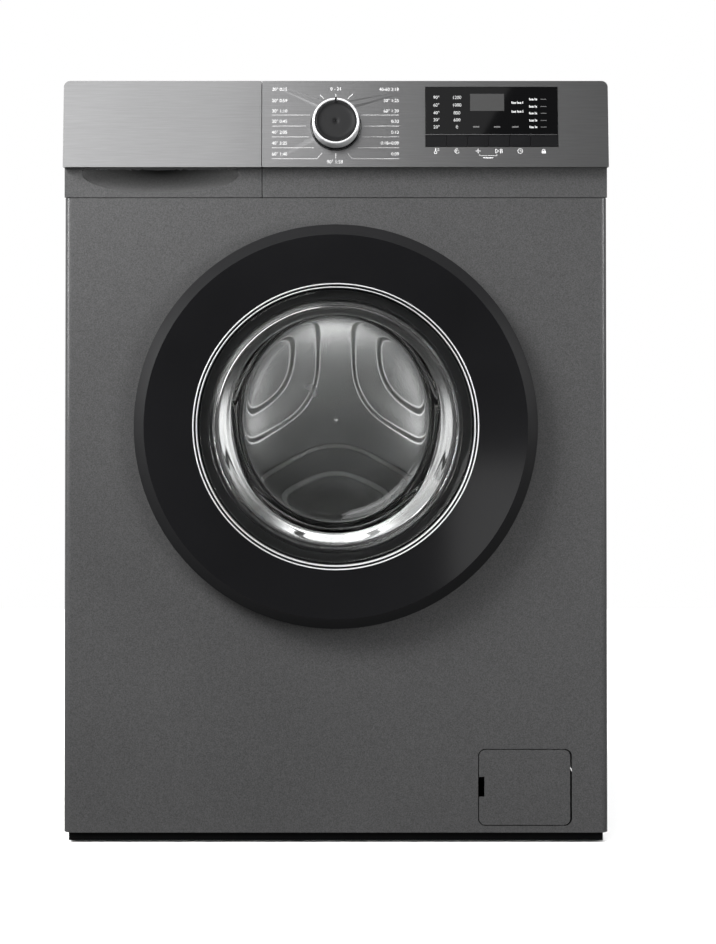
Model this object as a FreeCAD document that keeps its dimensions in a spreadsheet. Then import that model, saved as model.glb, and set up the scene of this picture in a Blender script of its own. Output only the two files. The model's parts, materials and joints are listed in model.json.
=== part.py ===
import FreeCAD, Part

import math
import os
import re

import Sketcher
from FreeCAD import Placement, Rotation, Vector

# A front load washing machine, in millimetres.
# The origin is on the floor, below the middle of the whole machine.  +X is to the right of
# someone facing the door, +Y goes to the back and +Z up.

DOC = FreeCAD.newDocument("washing_machine")

# Driving dimensions.  Each is set by itself; everything else is worked out from them.
SIZES = [
    # cabinet
    ("cabinet_width", 600), ("cabinet_height", 840), ("cabinet_depth", 500),
    ("rear_reach", 15), ("ground_gap", 12), ("sheet_wall", 1.2), ("panel_lip", 10),
    ("front_top", 711), ("strip_top", 744), ("edge_radius", 8), ("return_depth", 25),
    ("side_flange", 15), ("seat_gap", 0.3), ("running_gap", 0.05),
    ("cover_height", 22), ("cover_wall", 3), ("bar_height", 20), ("bar_depth", 24),
    ("base_plate", 2), ("base_lip", 20), ("skirt_inset", 5.5),
    ("skirt_setback", 4), ("skirt_wall", 2.5), ("skirt_gap", 2.5),
    # fascia and drawer front
    ("lip_reach", 14), ("top_reach", 6), ("fascia_wall", 3), ("fascia_depth", 20),
    ("fascia_corner", 7), ("drawer_width", 218), ("panel_seam", 0.8),
    ("scoop_width", 176), ("scoop_depth", 13), ("scoop_drop", 22),
    # knob, display and keys
    ("knob_height", 790), ("ring_radius", 25.9), ("ring_wall", 3.2), ("cap_radius", 22.4),
    ("knob_reach", 26), ("skirt_radius", 27.5), ("skirt_reach", 2), ("spindle_radius", 3),
    ("window_left", 98.4), ("window_low", 780.8), ("window_high", 833),
    ("window_wall", 3), ("key_low", 766.6), ("key_high", 779), ("key_pitch", 23.1),
    ("key_right", 244.5), ("key_wall", 5), ("key_gap", 0.4), ("key_proud", 0.6),
    ("board_setback", 14), ("board_wall", 1.6),
    # detergent drawer
    ("tray_length", 238), ("tray_low", 750), ("tray_high", 790), ("tray_wall", 2),
    ("tray_width", 180), ("box_wall", 2), ("box_side_gap", 1.5),
    # door
    ("door_height", 460), ("door_radius", 220), ("door_face_radius", 208.5), ("door_reach", 35),
    ("door_gap", 4), ("door_wall", 3), ("bevel_depth", 7), ("trim_radius", 156),
    ("trim_width", 5.3), ("trim_length", 10.7), ("glass_mouth", 130), ("glass_end", 105),
    ("glass_wall", 5), ("glass_depth", 82), ("glass_set", 24), ("hinge_inset", 9),
    ("hinge_out", 20), ("knuckle_radius", 4), ("pin_radius", 2.5), ("hinge_half", 40),
    ("arm_half", 24.4), ("bracket_wall", 3), ("bracket_half", 50), ("hook_offset", 185),
    ("hook_wall", 4), ("hook_half", 5), ("hook_length", 30), ("hook_back", 14),
    ("hook_pin", 1.9), ("lock_half", 28),
    # tub and gasket
    ("panel_hole", 166), ("tub_radius", 255), ("tub_wall", 3), ("tub_face", 45),
    ("tub_split", 150), ("tub_back", 380), ("tub_back_wall", 5), ("tub_flange", 10),
    ("flange_wall", 6), ("tub_mouth", 158), ("collar_length", 9), ("hub_radius", 34),
    ("hub_end", 432), ("bearing_radius", 26), ("bearing_width", 15), ("weight_inner", 175),
    ("weight_outer", 240), ("weight_wall", 32), ("weight_split", 60),
    # drum
    ("drum_radius", 235), ("drum_sheet", 1.5), ("drum_front", 58), ("drum_end", 349),
    ("drum_mouth", 155), ("shaft_radius", 12.5), ("shaft_end", 462), ("paddle_height", 56),
    ("paddle_base", 60), ("paddle_tip", 18), ("paddle_length", 240), ("arm_width", 44),
    ("arm_relief", 12), ("spider_arm", 30), ("spider_wall", 17),
    # drive
    ("pulley_radius", 140), ("pulley_front", 441), ("pulley_width", 14), ("belt_wall", 2),
    ("motor_x", 60), ("motor_height", 132), ("motor_radius", 55), ("motor_length", 120),
    ("motor_front", 310), ("motor_pulley", 11), ("motor_shaft", 6), ("rotor_radius", 35),
    ("motor_drop", 9),
    # suspension
    ("spring_x", 215), ("spring_y", 300), ("spring_radius", 12), ("spring_wire", 1.5),
    ("spring_turns", 13), ("spring_lug", 640), ("damper_x", 170), ("damper_y", 200),
    ("damper_lug", 250), ("damper_radius", 14), ("damper_top", 165), ("rod_radius", 5),
    # pump, flap, hoses
    ("flap_left", 156.7), ("flap_right", 260), ("flap_low", 19.3), ("flap_high", 103.7),
    ("flap_wall", 2.5), ("flap_gap", 1), ("flap_corner", 8), ("notch_width", 7),
    ("notch_low", 51), ("notch_high", 73), ("flap_pin", 1.9), ("pump_x", 208),
    ("pump_height", 62), ("pump_bore", 30), ("pump_wall", 4), ("pump_front", 19),
    ("pump_back", 132), ("pump_motor", 26), ("impeller_radius", 18), ("sump_x", 90),
    ("sump_radius", 17), ("hose_wall", 3), ("hose_bend", 45), ("sump_end", 195),
    ("drain_radius", 10), ("spigot_radius", 9.5), ("drain_x", 256), ("fill_y", 240),
    ("fill_radius", 14), ("fill_end", 215),
    ("valve_radius", 13.2), ("valve_height", 775), ("gland_x", 230), ("gland_height", 120),
    ("gland_bore", 3.75), ("gland_radius", 11),
    # feet, rear cover and fixings
    ("foot_x", 250), ("foot_front", 45), ("foot_rear", 455), ("foot_radius", 20),
    ("foot_pad", 8), ("foot_rod", 5), ("foot_top", 48), ("boss_radius", 11), ("boss_top", 28),
    ("cover_radius", 185), ("cover_dome", 160), ("cover_reach", 12), ("access_radius", 150),
    ("screw_radius", 1.9), ("screw_head", 4), ("screw_circle", 172), ("screw_count", 6),
    ("transit_x", 400), ("transit_z", 260), ("transit_radius", 9),
]

# Places and sizes that follow from the driving dimensions.
PLACES = [
    ("half_width", "cabinet_width / 2"),
    ("front_reach", "lip_reach + knob_reach * cos(atan(fascia_slope))"
                    " - (knob_up - ring_radius) * sin(atan(fascia_slope))"),
    ("front_y", "-(cabinet_depth + rear_reach - front_reach) / 2"),
    ("rear_y", "front_y + cabinet_depth"),
    ("cover_low", "cabinet_height - cover_height"),
    ("side_top", "cover_low - seat_gap"),
    ("bar_low", "cover_low - bar_height - seat_gap"),
    ("inner_half", "half_width - sheet_wall - seat_gap"),
    ("base_half", "half_width - side_flange - seat_gap"),
    ("base_low", "ground_gap - seat_gap - base_plate"),
    ("base_top", "ground_gap + 0.5 + base_plate"),
    ("fascia_slope", "(lip_reach - top_reach) / (cabinet_height - strip_top)"),
    ("strip_low", "front_top + panel_seam"),
    ("seam_x", "drawer_width - half_width"),
    ("scoop_x", "seam_x - drawer_width / 2 - 3"),
    ("knob_up", "(knob_height - strip_top) / cos(atan(fascia_slope))"),
    ("window_floor", "(window_low - strip_top) / cos(atan(fascia_slope))"),
    ("window_ceiling", "(window_high - strip_top) / cos(atan(fascia_slope))"),
    ("key_floor", "(key_low - strip_top) / cos(atan(fascia_slope))"),
    ("key_ceiling", "(key_high - strip_top) / cos(atan(fascia_slope))"),
    ("key_left", "window_left + key_gap"),
    ("carrier_y", "front_y + fascia_depth + seat_gap"),
    ("box_front", "carrier_y + fascia_wall + seat_gap"),
    ("tray_left", "seam_x - drawer_width / 2 - tray_width / 2"),
    ("tray_right", "tray_left + tray_width"),
    ("tray_end", "front_y + fascia_depth + seat_gap + tray_length"),
    ("box_low", "tray_low - seat_gap - box_wall"),
    ("box_high", "tray_high + 5"),
    ("box_left", "tray_left - box_side_gap - box_wall"),
    ("box_right", "tray_right + box_side_gap + box_wall"),
    ("box_end", "tray_end + 12"),
    ("hinge_x", "hinge_inset - door_radius"),
    ("hinge_y", "front_y - hinge_out"),
    ("neck_rise", "hinge_out - bracket_wall - seat_gap"),
    ("tub_inner", "tub_radius - tub_wall"),
    ("fill_x", "scoop_x + 4"),
    ("fill_start", "sqrt(max(tub_inner * tub_inner - fill_x * fill_x; 0)) - 16"),
    ("spider_front", "drum_end - 4.2"),
    ("pump_tube", "pump_bore + pump_wall"),
    ("pulley_back", "pulley_front + pulley_width"),
    ("flap_axis_x", "flap_right - 13.5"),
    ("flap_axis_y", "front_y + 5"),
]

SIZE_NAMES = {name for name, _ in SIZES}
PLACE_NAMES = {name for name, _ in PLACES}


def linked(text, local=()):
    """An expression with each dimension's name led back to its sheet."""
    def owner(match):
        word = match.group(0)
        if word in local:
            return word
        if word in SIZE_NAMES:
            return "Sizes." + word
        return "Places." + word if word in PLACE_NAMES else word
    return re.sub(r"[a-z_]+", owner, str(text))


def fill_sheet(name, rows, local=(), formula=""):
    sheet = DOC.addObject("Spreadsheet::Sheet", name)
    for row, (alias, content) in enumerate(rows, start=1):
        sheet.set("A%d" % row, alias)
        sheet.set("B%d" % row, formula + linked(content, local))
        sheet.setAlias("B%d" % row, alias)
    DOC.recompute()


fill_sheet("Sizes", SIZES)
fill_sheet("Places", PLACES, local=PLACE_NAMES, formula="=")

CALCULATOR = DOC.addObject("App::FeaturePython", "Calculator")
CALCULATOR.addProperty("App::PropertyFloat", "Result")

NODES = {}


def number(text):
    """The present value of an expression."""
    CALCULATOR.setExpression("Result", linked(text))
    CALCULATOR.recompute()
    return CALCULATOR.Result


def place(item, x, y, z):
    for side, text in zip("xyz", (x, y, z)):
        item.setExpression("Placement.Base." + side, linked(text))


TURNS = {
    "X": Rotation(Vector(0, 1, 0), 90),
    "Y": Rotation(Vector(1, 0, 0), -90),
    "Z": Rotation(),
}


class Piece:
    """One body, built up from features whose sizes are bound to the sheets."""

    def __init__(self, label, x="0", y="front_y", z="0", tilted=False, node=True):
        self.body = DOC.addObject("PartDesign::Body", label)
        self.body.Label = label
        if tilted:
            self.body.Placement = Placement(Vector(), Rotation(Vector(-1, 0, 0), 5))
            self.body.setExpression("Placement.Rotation.Angle", linked("atan(fascia_slope)"))
        place(self.body, x, y, z)
        if node:
            NODES[label] = self.body

    def feature(self, kind):
        return self.body.newObject("PartDesign::" + kind, self.body.Label + "_" + kind)

    def box(self, x, y, z, kind="AdditiveBox"):
        """A block between two values on each axis."""
        block = self.feature(kind)
        for side, (low, high) in zip(("Length", "Width", "Height"), (x, y, z)):
            block.setExpression(side, linked("(%s) - (%s)" % (high, low)))
        place(block, x[0], y[0], z[0])

    def cut_box(self, x, y, z):
        self.box(x, y, z, "SubtractiveBox")

    def rod(self, axis, start, length, radius, kind="AdditiveCylinder"):
        cylinder = self.feature(kind)
        cylinder.Placement = Placement(Vector(), TURNS[axis])
        cylinder.setExpression("Radius", linked(radius))
        cylinder.setExpression("Height", linked(length))
        place(cylinder, *start)

    def cut_rod(self, axis, start, length, radius):
        self.rod(axis, start, length, radius, "SubtractiveCylinder")

    def ball(self, centre, x_radius, y_radius, z_radius, kind="AdditiveEllipsoid"):
        shape = self.feature(kind)
        shape.setExpression("Radius1", linked(z_radius))
        shape.setExpression("Radius2", linked(x_radius))
        shape.setExpression("Radius3", linked(y_radius))
        place(shape, *centre)

    def sketch(self, plane):
        drawing = self.body.newObject("Sketcher::SketchObject", self.body.Label + "_sketch")
        support = [item for item in self.body.Origin.OriginFeatures if item.Role == plane][0]
        drawing.AttachmentSupport = (support, [""])
        drawing.MapMode = "FlatFace"
        return drawing

    def prism(self, plane, corners, length, start="0"):
        """A straight-sided outline pushed out along the axis that crosses its plane."""
        drawing = self.sketch(plane)
        draw_polygon(drawing, corners)
        drawing.setExpression("AttachmentOffset.Base.z", linked(start))
        pad = self.feature("Pad")
        pad.Profile = drawing
        pad.setExpression("Length", linked(length))
        DOC.recompute()
        return pad

    def turned(self, profile, kind="Revolution"):
        """A profile of (distance along Y, radius) turned about the body's Y axis."""
        drawing = self.sketch("YZ_Plane")
        draw_polygon(drawing, profile)
        spun = self.feature(kind)
        spun.Profile = drawing
        spun.ReferenceAxis = (drawing, ["H_Axis"])
        spun.Angle = 360
        DOC.recompute()
        return spun

    def fillet(self, radius, wanted):
        """Rounds the edges whose middle and direction pass the test."""
        DOC.recompute()
        base = self.body.Tip
        names = []
        for index, edge in enumerate(base.Shape.Edges, start=1):
            if isinstance(edge.Curve, Part.Line) and wanted(edge.CenterOfMass, edge.Curve.Direction):
                names.append("Edge%d" % index)
        if not names:
            raise RuntimeError("no edge to round on " + self.body.Label)
        rounding = self.feature("Fillet")
        rounding.Base = (base, names)
        rounding.setExpression("Radius", linked(radius))
        DOC.recompute()


def draw_polygon(drawing, corners):
    spots = [Vector(number(across), number(up), 0) for across, up in corners]
    count = len(spots)
    first = drawing.GeometryCount
    for index in range(count):
        drawing.addGeometry(Part.LineSegment(spots[index], spots[(index + 1) % count]))
    for index in range(count):
        ends = (first + index, 2, first + (index + 1) % count, 1)
        drawing.addConstraint(Sketcher.Constraint("Coincident", *ends))
    for index, corner in enumerate(corners):
        for kind, text in zip(("DistanceX", "DistanceY"), corner):
            rule = Sketcher.Constraint(kind, -1, 1, first + index, 1, number(text))
            slot = drawing.addConstraint(rule)
            drawing.setExpression("Constraints[%d]" % slot, linked(text))


def draw_circle(drawing, radius):
    index = drawing.addGeometry(Part.Circle(Vector(), Vector(0, 0, 1), number(radius)))
    drawing.addConstraint(Sketcher.Constraint("Coincident", index, 3, -1, 1))
    slot = drawing.addConstraint(Sketcher.Constraint("Radius", index, number(radius)))
    drawing.setExpression("Constraints[%d]" % slot, linked(radius))


def group(label, pieces):
    """Several alike solids that share one node."""
    whole = DOC.addObject("Part::Compound", label)
    whole.Label = label
    whole.Links = [piece.body for piece in pieces]
    NODES[label] = whole


def near(value, text, tolerance=0.05):
    return abs(value - number(text)) < tolerance


# ---------------------------------------------------------------- cabinet

def base_pan():
    """Moulded tray between the panels, with a low skirt below them that hides the gap."""
    pan = Piece("base_pan")
    reach = ("-base_half", "base_half")
    depth = ("sheet_wall + seat_gap", "cabinet_depth - sheet_wall - seat_gap")
    pan.box(reach, depth, ("base_low", "base_top + base_lip"))
    skirt = "half_width - skirt_inset"
    hollow = "half_width - skirt_inset - skirt_wall"
    pan.box(("-(%s)" % skirt, skirt), ("skirt_setback", "cabinet_depth - skirt_setback"),
            ("skirt_gap", "base_low + base_plate"))
    pan.cut_box(("-(%s)" % hollow, hollow),
                ("skirt_setback + skirt_wall", "cabinet_depth - skirt_setback - skirt_wall"),
                ("skirt_gap - 1", "base_low"))
    pan.cut_box(("-base_half + base_plate", "base_half - base_plate"),
                ("sheet_wall + seat_gap + base_plate", "cabinet_depth - sheet_wall - seat_gap - base_plate"),
                ("base_top", "base_top + base_lip + 1"))
    pan.cut_box(("flap_left - 12", "flap_right + 8"), ("0", "return_depth"),
                ("base_top", "base_top + base_lip + 1"))
    for side in ("-foot_x", "foot_x"):
        for depth in ("foot_front", "foot_rear"):
            pan.rod("Z", (side, depth, "base_low"), "boss_top - base_low", "boss_radius")
            pan.cut_rod("Z", (side, depth, "base_low - 1"), "boss_top", "foot_rod + running_gap")


def side_panel(label, side):
    """Sheet with an inward flange along its front and back edges."""
    panel = Piece(label)
    outer = side + "half_width"
    inner = side + "(half_width - sheet_wall)"
    lip = side + "(half_width - side_flange)"
    front = "return_depth + seat_gap"
    back = "cabinet_depth - sheet_wall - seat_gap"
    corners = [(outer, front), (lip, front), (lip, front + " + sheet_wall"),
               (inner, front + " + sheet_wall"), (inner, back + " - sheet_wall"),
               (lip, back + " - sheet_wall"), (lip, back), (outer, back)]
    panel.prism("XY_Plane", corners, "side_top - ground_gap", start="ground_gap")


def front_panel():
    """Folded sheet with a round door hole, the hook's slot and the filter opening."""
    panel = Piece("front_panel")
    corners = [("-half_width", "return_depth"), ("-half_width", "0"), ("half_width", "0"),
               ("half_width", "return_depth"), ("half_width - sheet_wall", "return_depth"),
               ("half_width - sheet_wall", "sheet_wall"), ("-half_width + sheet_wall", "sheet_wall"),
               ("-half_width + sheet_wall", "return_depth")]
    panel.prism("XY_Plane", corners, "front_top - ground_gap", start="ground_gap")
    panel.fillet("edge_radius", lambda spot, way: near(abs(way.z), "1") and near(spot.y, "0"))
    panel.fillet("edge_radius - sheet_wall",
                 lambda spot, way: near(abs(way.z), "1") and near(spot.y, "sheet_wall")
                 and near(abs(spot.x), "half_width - sheet_wall"))
    fold = "half_width - edge_radius - 2"
    panel.box(("-(%s)" % fold, fold), ("sheet_wall / 2", "panel_lip"),
              ("front_top - sheet_wall", "front_top"))
    panel.cut_rod("Y", ("0", "-1", "door_height"), "sheet_wall + 2", "panel_hole")
    panel.cut_box(("hook_offset - 8", "hook_offset + 14"), ("-1", "sheet_wall + 1"),
                  ("door_height - 14", "door_height + 14"))
    panel.cut_box(("flap_left", "flap_right"), ("-1", "sheet_wall + 1"), ("flap_low", "flap_high"))
    panel.fillet("flap_corner", lambda spot, way: near(abs(way.y), "1")
                 and flap_corner_at(spot.x, spot.z))
    for low, high in (("flap_low - 4.3", "flap_low - 0.3"), ("flap_high + 0.3", "flap_high + 4.3")):
        panel.box(("flap_axis_x - 6", "flap_axis_x + 5"), ("sheet_wall / 2", "flap_axis_y - front_y + 4"),
                  (low, high))
        panel.cut_rod("Z", ("flap_axis_x", "flap_axis_y - front_y", low + " - 1"), "6",
                      "flap_pin + running_gap")


def flap_corner_at(x, z):
    return ((near(x, "flap_left") or near(x, "flap_right"))
            and (near(z, "flap_low") or near(z, "flap_high")))


def rear_panel():
    """Back sheet with the belt opening, the transit holes and the water and cable holes."""
    panel = Piece("rear_panel", y="rear_y - sheet_wall")
    panel.box(("-half_width", "half_width"), ("0", "sheet_wall"), ("ground_gap", "side_top"))
    through = "sheet_wall + 2"
    panel.cut_rod("Y", ("0", "-1", "door_height"), through, "access_radius")
    for side in ("-transit_x / 2", "transit_x / 2"):
        for height in ("door_height - transit_z / 2", "door_height + transit_z / 2"):
            panel.cut_rod("Y", (side, "-1", height), through, "transit_radius")
    for turn in screw_angles():
        panel.cut_rod("Y", (screw_x(turn), "-1", screw_z(turn)), through, "screw_radius + 0.2")
    panel.cut_rod("Y", ("fill_x", "-1", "valve_height"), through, "valve_radius + 0.3")
    panel.cut_rod("Y", ("-gland_x", "-1", "gland_height"), through, "gland_radius - 2.7")
    panel.cut_rod("Y", ("drain_x", "-1", "pump_height"), through, "drain_radius + 0.3")


def screw_angles():
    count = int(number("screw_count"))
    return [360.0 * index / count + 30 for index in range(count)]


def screw_x(turn):
    return "screw_circle * cos(%g)" % turn


def screw_z(turn):
    return "door_height + screw_circle * sin(%g)" % turn


def rear_cover():
    """Pressed dish over the belt opening."""
    cover = Piece("rear_cover", y="rear_y", z="door_height")
    cover.turned([("seat_gap", "cover_radius"), ("seat_gap", "cover_dome"),
                  ("cover_reach - sheet_wall", "cover_dome - 8"), ("cover_reach - sheet_wall", "0"),
                  ("cover_reach", "0"), ("cover_reach", "cover_dome - 8 + sheet_wall"),
                  ("seat_gap + sheet_wall", "cover_dome + sheet_wall"),
                  ("seat_gap + sheet_wall", "cover_radius")])
    for turn in screw_angles():
        cover.cut_rod("Y", (screw_x(turn), "0", screw_z(turn) + " - door_height"), "cover_reach",
                      "screw_radius + 0.2")


def cabinet_screws():
    screws = []
    for index, turn in enumerate(screw_angles()):
        screw = Piece("screw_%d" % index, x=screw_x(turn), y="rear_y", z=screw_z(turn), node=False)
        top = "seat_gap + sheet_wall"
        screw.rod("Y", ("0", "-5", "0"), "5 + " + top, "screw_radius")
        screw.rod("Y", ("0", top, "0"), "2.2", "screw_head")
        screws.append(screw)
    group("cabinet_screws", screws)


def top_cover():
    """Moulded tray, open underneath, that closes the top."""
    cover = Piece("top_cover")
    front = "fascia_depth + seat_gap + fascia_wall + seat_gap"
    cover.box(("-half_width", "half_width"), (front, "cabinet_depth"), ("cover_low", "cabinet_height"))
    cover.fillet("edge_radius", lambda spot, way: near(abs(way.z), "1")
                 and near(spot.y, "cabinet_depth"))
    cover.cut_box(("-half_width + cover_wall", "half_width - cover_wall"),
                  (front + " + cover_wall", "cabinet_depth - cover_wall"),
                  ("cover_low - 1", "cabinet_height - cover_wall"))


def cross_bars():
    """Two channels between the side panels; the springs hang from the second."""
    bars = []
    for index, middle in enumerate(("fascia_depth + 40", "spring_y")):
        bar = Piece("cross_bar_%d" % index, node=False)
        low = "%s - bar_depth / 2" % middle
        high = "%s + bar_depth / 2" % middle
        bar.box(("-inner_half", "inner_half"), (low, high), ("bar_low", "bar_low + bar_height"))
        bar.cut_box(("-inner_half - 1", "inner_half + 1"), (low + " + base_plate", high + " - base_plate"),
                    ("bar_low + base_plate", "bar_low + bar_height + 1"))
        bars.append(bar)
    group("cross_bars", bars)


def foot(label, side, depth, node=True):
    item = Piece(label, x=side, y="front_y + " + depth, node=node)
    item.rod("Z", ("0", "0", "0"), "foot_pad", "foot_radius")
    item.rod("Z", ("0", "0", "0"), "foot_top", "foot_rod")
    return item


def feet():
    foot("foot_left", "-foot_x", "foot_front")
    foot("foot_right", "foot_x", "foot_front")
    group("rear_feet", [foot("rear_foot_left", "-foot_x", "foot_rear", node=False),
                        foot("rear_foot_right", "foot_x", "foot_rear", node=False)])


# ---------------------------------------------------------------- control panel and drawer

def fascia_outline(inset="0"):
    """The slanted fascia's side view above its strip, as (Y, Z)."""
    return [("%s" % inset, "strip_low + %s" % inset),
            ("%s" % inset, "strip_top + %s" % inset),
            ("-lip_reach + %s" % inset, "strip_top + %s" % inset),
            ("-top_reach + %s" % inset, "cabinet_height - %s" % inset),
            ("fascia_depth", "cabinet_height - %s" % inset),
            ("fascia_depth", "strip_low + %s" % inset)]


def hollow_outline():
    corners = fascia_outline("fascia_wall")
    return corners[:4] + [("fascia_depth + 2", "cabinet_height - fascia_wall"),
                          ("fascia_depth + 2", "strip_low + fascia_wall")]


def pocket_prism(piece, corners, length, start):
    drawing = piece.sketch("YZ_Plane")
    draw_polygon(drawing, corners)
    drawing.setExpression("AttachmentOffset.Base.z", linked(start))
    pocket = piece.feature("Pocket")
    pocket.Profile = drawing
    pocket.Reversed = True
    pocket.setExpression("Length", linked(length))
    DOC.recompute()


def control_panel():
    """Fascia moulding, open at the back, with a frame that carries the drawer's box."""
    panel = Piece("control_panel")
    left = "seam_x + panel_seam"
    panel.prism("YZ_Plane", fascia_outline(), "half_width - (%s)" % left, start=left)
    panel.fillet("fascia_corner", lambda spot, way: near(abs(way.y), "1")
                 and near(spot.x, "half_width") and near(spot.z, "cabinet_height"))
    pocket_prism(panel, hollow_outline(), "half_width - (%s) - 2 * fascia_wall" % left,
                 left + " + fascia_wall")
    panel.box(("-half_width + 4", "seam_x + 12"),
              ("fascia_depth + seat_gap", "fascia_depth + seat_gap + fascia_wall"),
              ("strip_low", "cabinet_height - 2"))
    panel.box((left, "seam_x + 12"), ("fascia_depth - 1", "fascia_depth + seat_gap + 1"),
              ("strip_low", "cabinet_height - 2"))
    panel.cut_box(("box_left + 1", "box_right - 1"), ("fascia_depth", "fascia_depth + 8"),
                  ("box_low + 0.5", "box_high + 1"))
    bezel = Piece("control_panel_face", y="front_y - lip_reach", z="strip_top", tilted=True, node=False)
    bezel.rod("Y", ("0", "-skirt_reach", "knob_up"), "skirt_reach + 1", "skirt_radius")
    holes = Piece("control_panel_holes", y="front_y - lip_reach", z="strip_top", tilted=True, node=False)
    holes.box(("window_left", "key_right + key_gap"), ("-5", "8"),
              ("key_floor - key_gap", "window_ceiling + key_gap"))
    shaft = Piece("control_panel_shaft", y="front_y - lip_reach", z="strip_top", tilted=True, node=False)
    shaft.rod("Y", ("0", "-8", "knob_up"), "20", "spindle_radius + 1")
    whole = DOC.addObject("Part::MultiFuse", "control_panel_solid")
    whole.Shapes = [panel.body, bezel.body]
    windowed = DOC.addObject("Part::Cut", "control_panel_windowed")
    windowed.Base = whole
    windowed.Tool = holes.body
    final = DOC.addObject("Part::Cut", "control_panel_moulding")
    final.Base = windowed
    final.Tool = shaft.body
    panel.body.Label = "control_panel_blank"
    final.Label = "control_panel"
    NODES["control_panel"] = final


def tilted_piece(label):
    """A piece built on the slanted face: X across, Y into the fascia, Z up the slope."""
    return Piece(label, y="front_y - lip_reach", z="strip_top", tilted=True)


def display_window():
    window = tilted_piece("display_window")
    across = ("window_left + seat_gap", "key_right")
    window.box(across, ("-0.4", "window_wall"), ("key_ceiling + key_gap", "window_ceiling"))
    window.box(("window_left + 14", "key_right - 14"), ("window_wall", "board_setback - seat_gap"),
               ("window_floor + 8", "window_ceiling - 8"))


def keys():
    names = ("temperature", "spin", "option", "start", "delay", "lock")
    for index, name in enumerate(names):
        key = tilted_piece("button_" + name)
        left = "key_left + %d * key_pitch" % index
        right = "key_right" if index == len(names) - 1 else left + " + key_pitch - key_gap"
        key.box((left, right), ("-key_proud", "key_wall"), ("key_floor", "key_ceiling"))
        key.rod("Y", ("(%s + %s) / 2" % (left, right), "key_wall - 1", "(key_floor + key_ceiling) / 2"),
                "board_setback - key_wall - 0.2", "1.5")


def control_board():
    board = tilted_piece("control_board")
    board.box(("-skirt_radius", "key_right + 8"), ("board_setback", "board_setback + board_wall"),
              ("6", "window_ceiling - 4"))
    board.rod("Y", ("0", "fascia_wall + 1.5", "knob_up"), "board_setback - fascia_wall - 1", "9")
    board.cut_rod("Y", ("0", "0", "knob_up"), "board_setback + 8", "spindle_radius + running_gap")


def knob():
    ring = tilted_piece("knob_ring")
    gap = "-skirt_reach - 0.5"
    ring.rod("Y", ("0", "-knob_reach", "knob_up"), "knob_reach - skirt_reach - 0.5", "ring_radius")
    ring.cut_rod("Y", ("0", "-knob_reach - 1", "knob_up"), "knob_reach + 2", "ring_radius - ring_wall")
    cap = tilted_piece("knob_cap")
    cap.rod("Y", ("0", "-knob_reach + 0.6", "knob_up"), "knob_reach - skirt_reach - 1.1", "cap_radius")
    cap.cut_rod("Y", ("0", "-knob_reach + 4", "knob_up"), "knob_reach", "cap_radius - 2.5")
    cap.rod("Y", ("0", "-knob_reach + 2", "knob_up"), "knob_reach + board_setback - 3", "spindle_radius")


def drawer_front():
    """Slanted front of the drawer with the finger scoop under its lip."""
    front = Piece("drawer_front")
    front.prism("YZ_Plane", fascia_outline(), "drawer_width", start="-half_width")
    front.fillet("fascia_corner", lambda spot, way: near(abs(way.y), "1")
                 and near(spot.x, "-half_width") and near(spot.z, "cabinet_height"))
    corners = [("fascia_wall", "box_high + 4"), ("-top_reach - 2", "box_high + 4"),
               ("-top_reach + fascia_wall", "cabinet_height - fascia_wall"),
               ("fascia_depth + 2", "cabinet_height - fascia_wall"), ("fascia_depth + 2", "box_high + 4")]
    pocket_prism(front, corners, "drawer_width - 2 * fascia_wall", "-half_width + fascia_wall")
    front.ball(("scoop_x", "2", "strip_top - 6"), "scoop_width / 2", "scoop_depth", "scoop_drop",
               "SubtractiveEllipsoid")


def drawer_tray():
    """Three open compartments: pre-wash, softener and main wash."""
    tray = Piece("drawer_tray", y="0")
    ends = ("carrier_y", "tray_end")
    tray.box(("tray_left", "tray_right"), ends, ("tray_low", "tray_high"))
    room = "(tray_width - 4 * tray_wall) / 3"
    for index in range(3):
        left = "tray_left + tray_wall + %d * (%s + tray_wall)" % (index, room)
        tray.cut_box((left, left + " + " + room), ("carrier_y + tray_wall", "tray_end - tray_wall"),
                     ("tray_low + tray_wall", "tray_high + 1"))


def dispenser_box():
    """Open-fronted housing that the drawer slides in, with its outlet below."""
    box = Piece("dispenser_box", y="0")
    box.box(("box_left", "box_right"), ("box_front", "box_end"), ("box_low", "box_high"))
    box.cut_box(("box_left + box_wall", "box_right - box_wall"), ("box_front - 1", "box_end - box_wall"),
                ("box_low + box_wall", "box_high - box_wall"))
    box.rod("Z", ("fill_x", "front_y + fill_y", "box_low - 12"), "12.5", "fill_radius")
    box.cut_rod("Z", ("fill_x", "front_y + fill_y", "box_low - 13"), "16", "fill_radius - 2.5")


# ---------------------------------------------------------------- door

def door_piece(label):
    return Piece(label, z="door_height")


def door_outer_frame():
    """Bevelled ring with a deep rim and a hub round the glass."""
    frame = door_piece("door_outer_frame")
    frame.turned([("-door_gap", "door_radius"), ("-door_reach + bevel_depth", "door_radius"),
                  ("-door_reach", "door_face_radius"), ("-door_reach", "trim_radius"),
                  ("-8", "trim_radius"), ("-8", "trim_radius + door_wall"),
                  ("-door_reach + door_wall", "trim_radius + door_wall"),
                  ("-door_reach + door_wall", "door_face_radius - 1"),
                  ("-door_reach + bevel_depth + 2", "door_radius - door_wall"),
                  ("-door_gap", "door_radius - door_wall")])
    frame.cut_box(("-door_radius - 1", "-door_radius + 12"), ("-hinge_out - 7", "0"),
                  ("-bracket_half - 2", "bracket_half + 2"))


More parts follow.
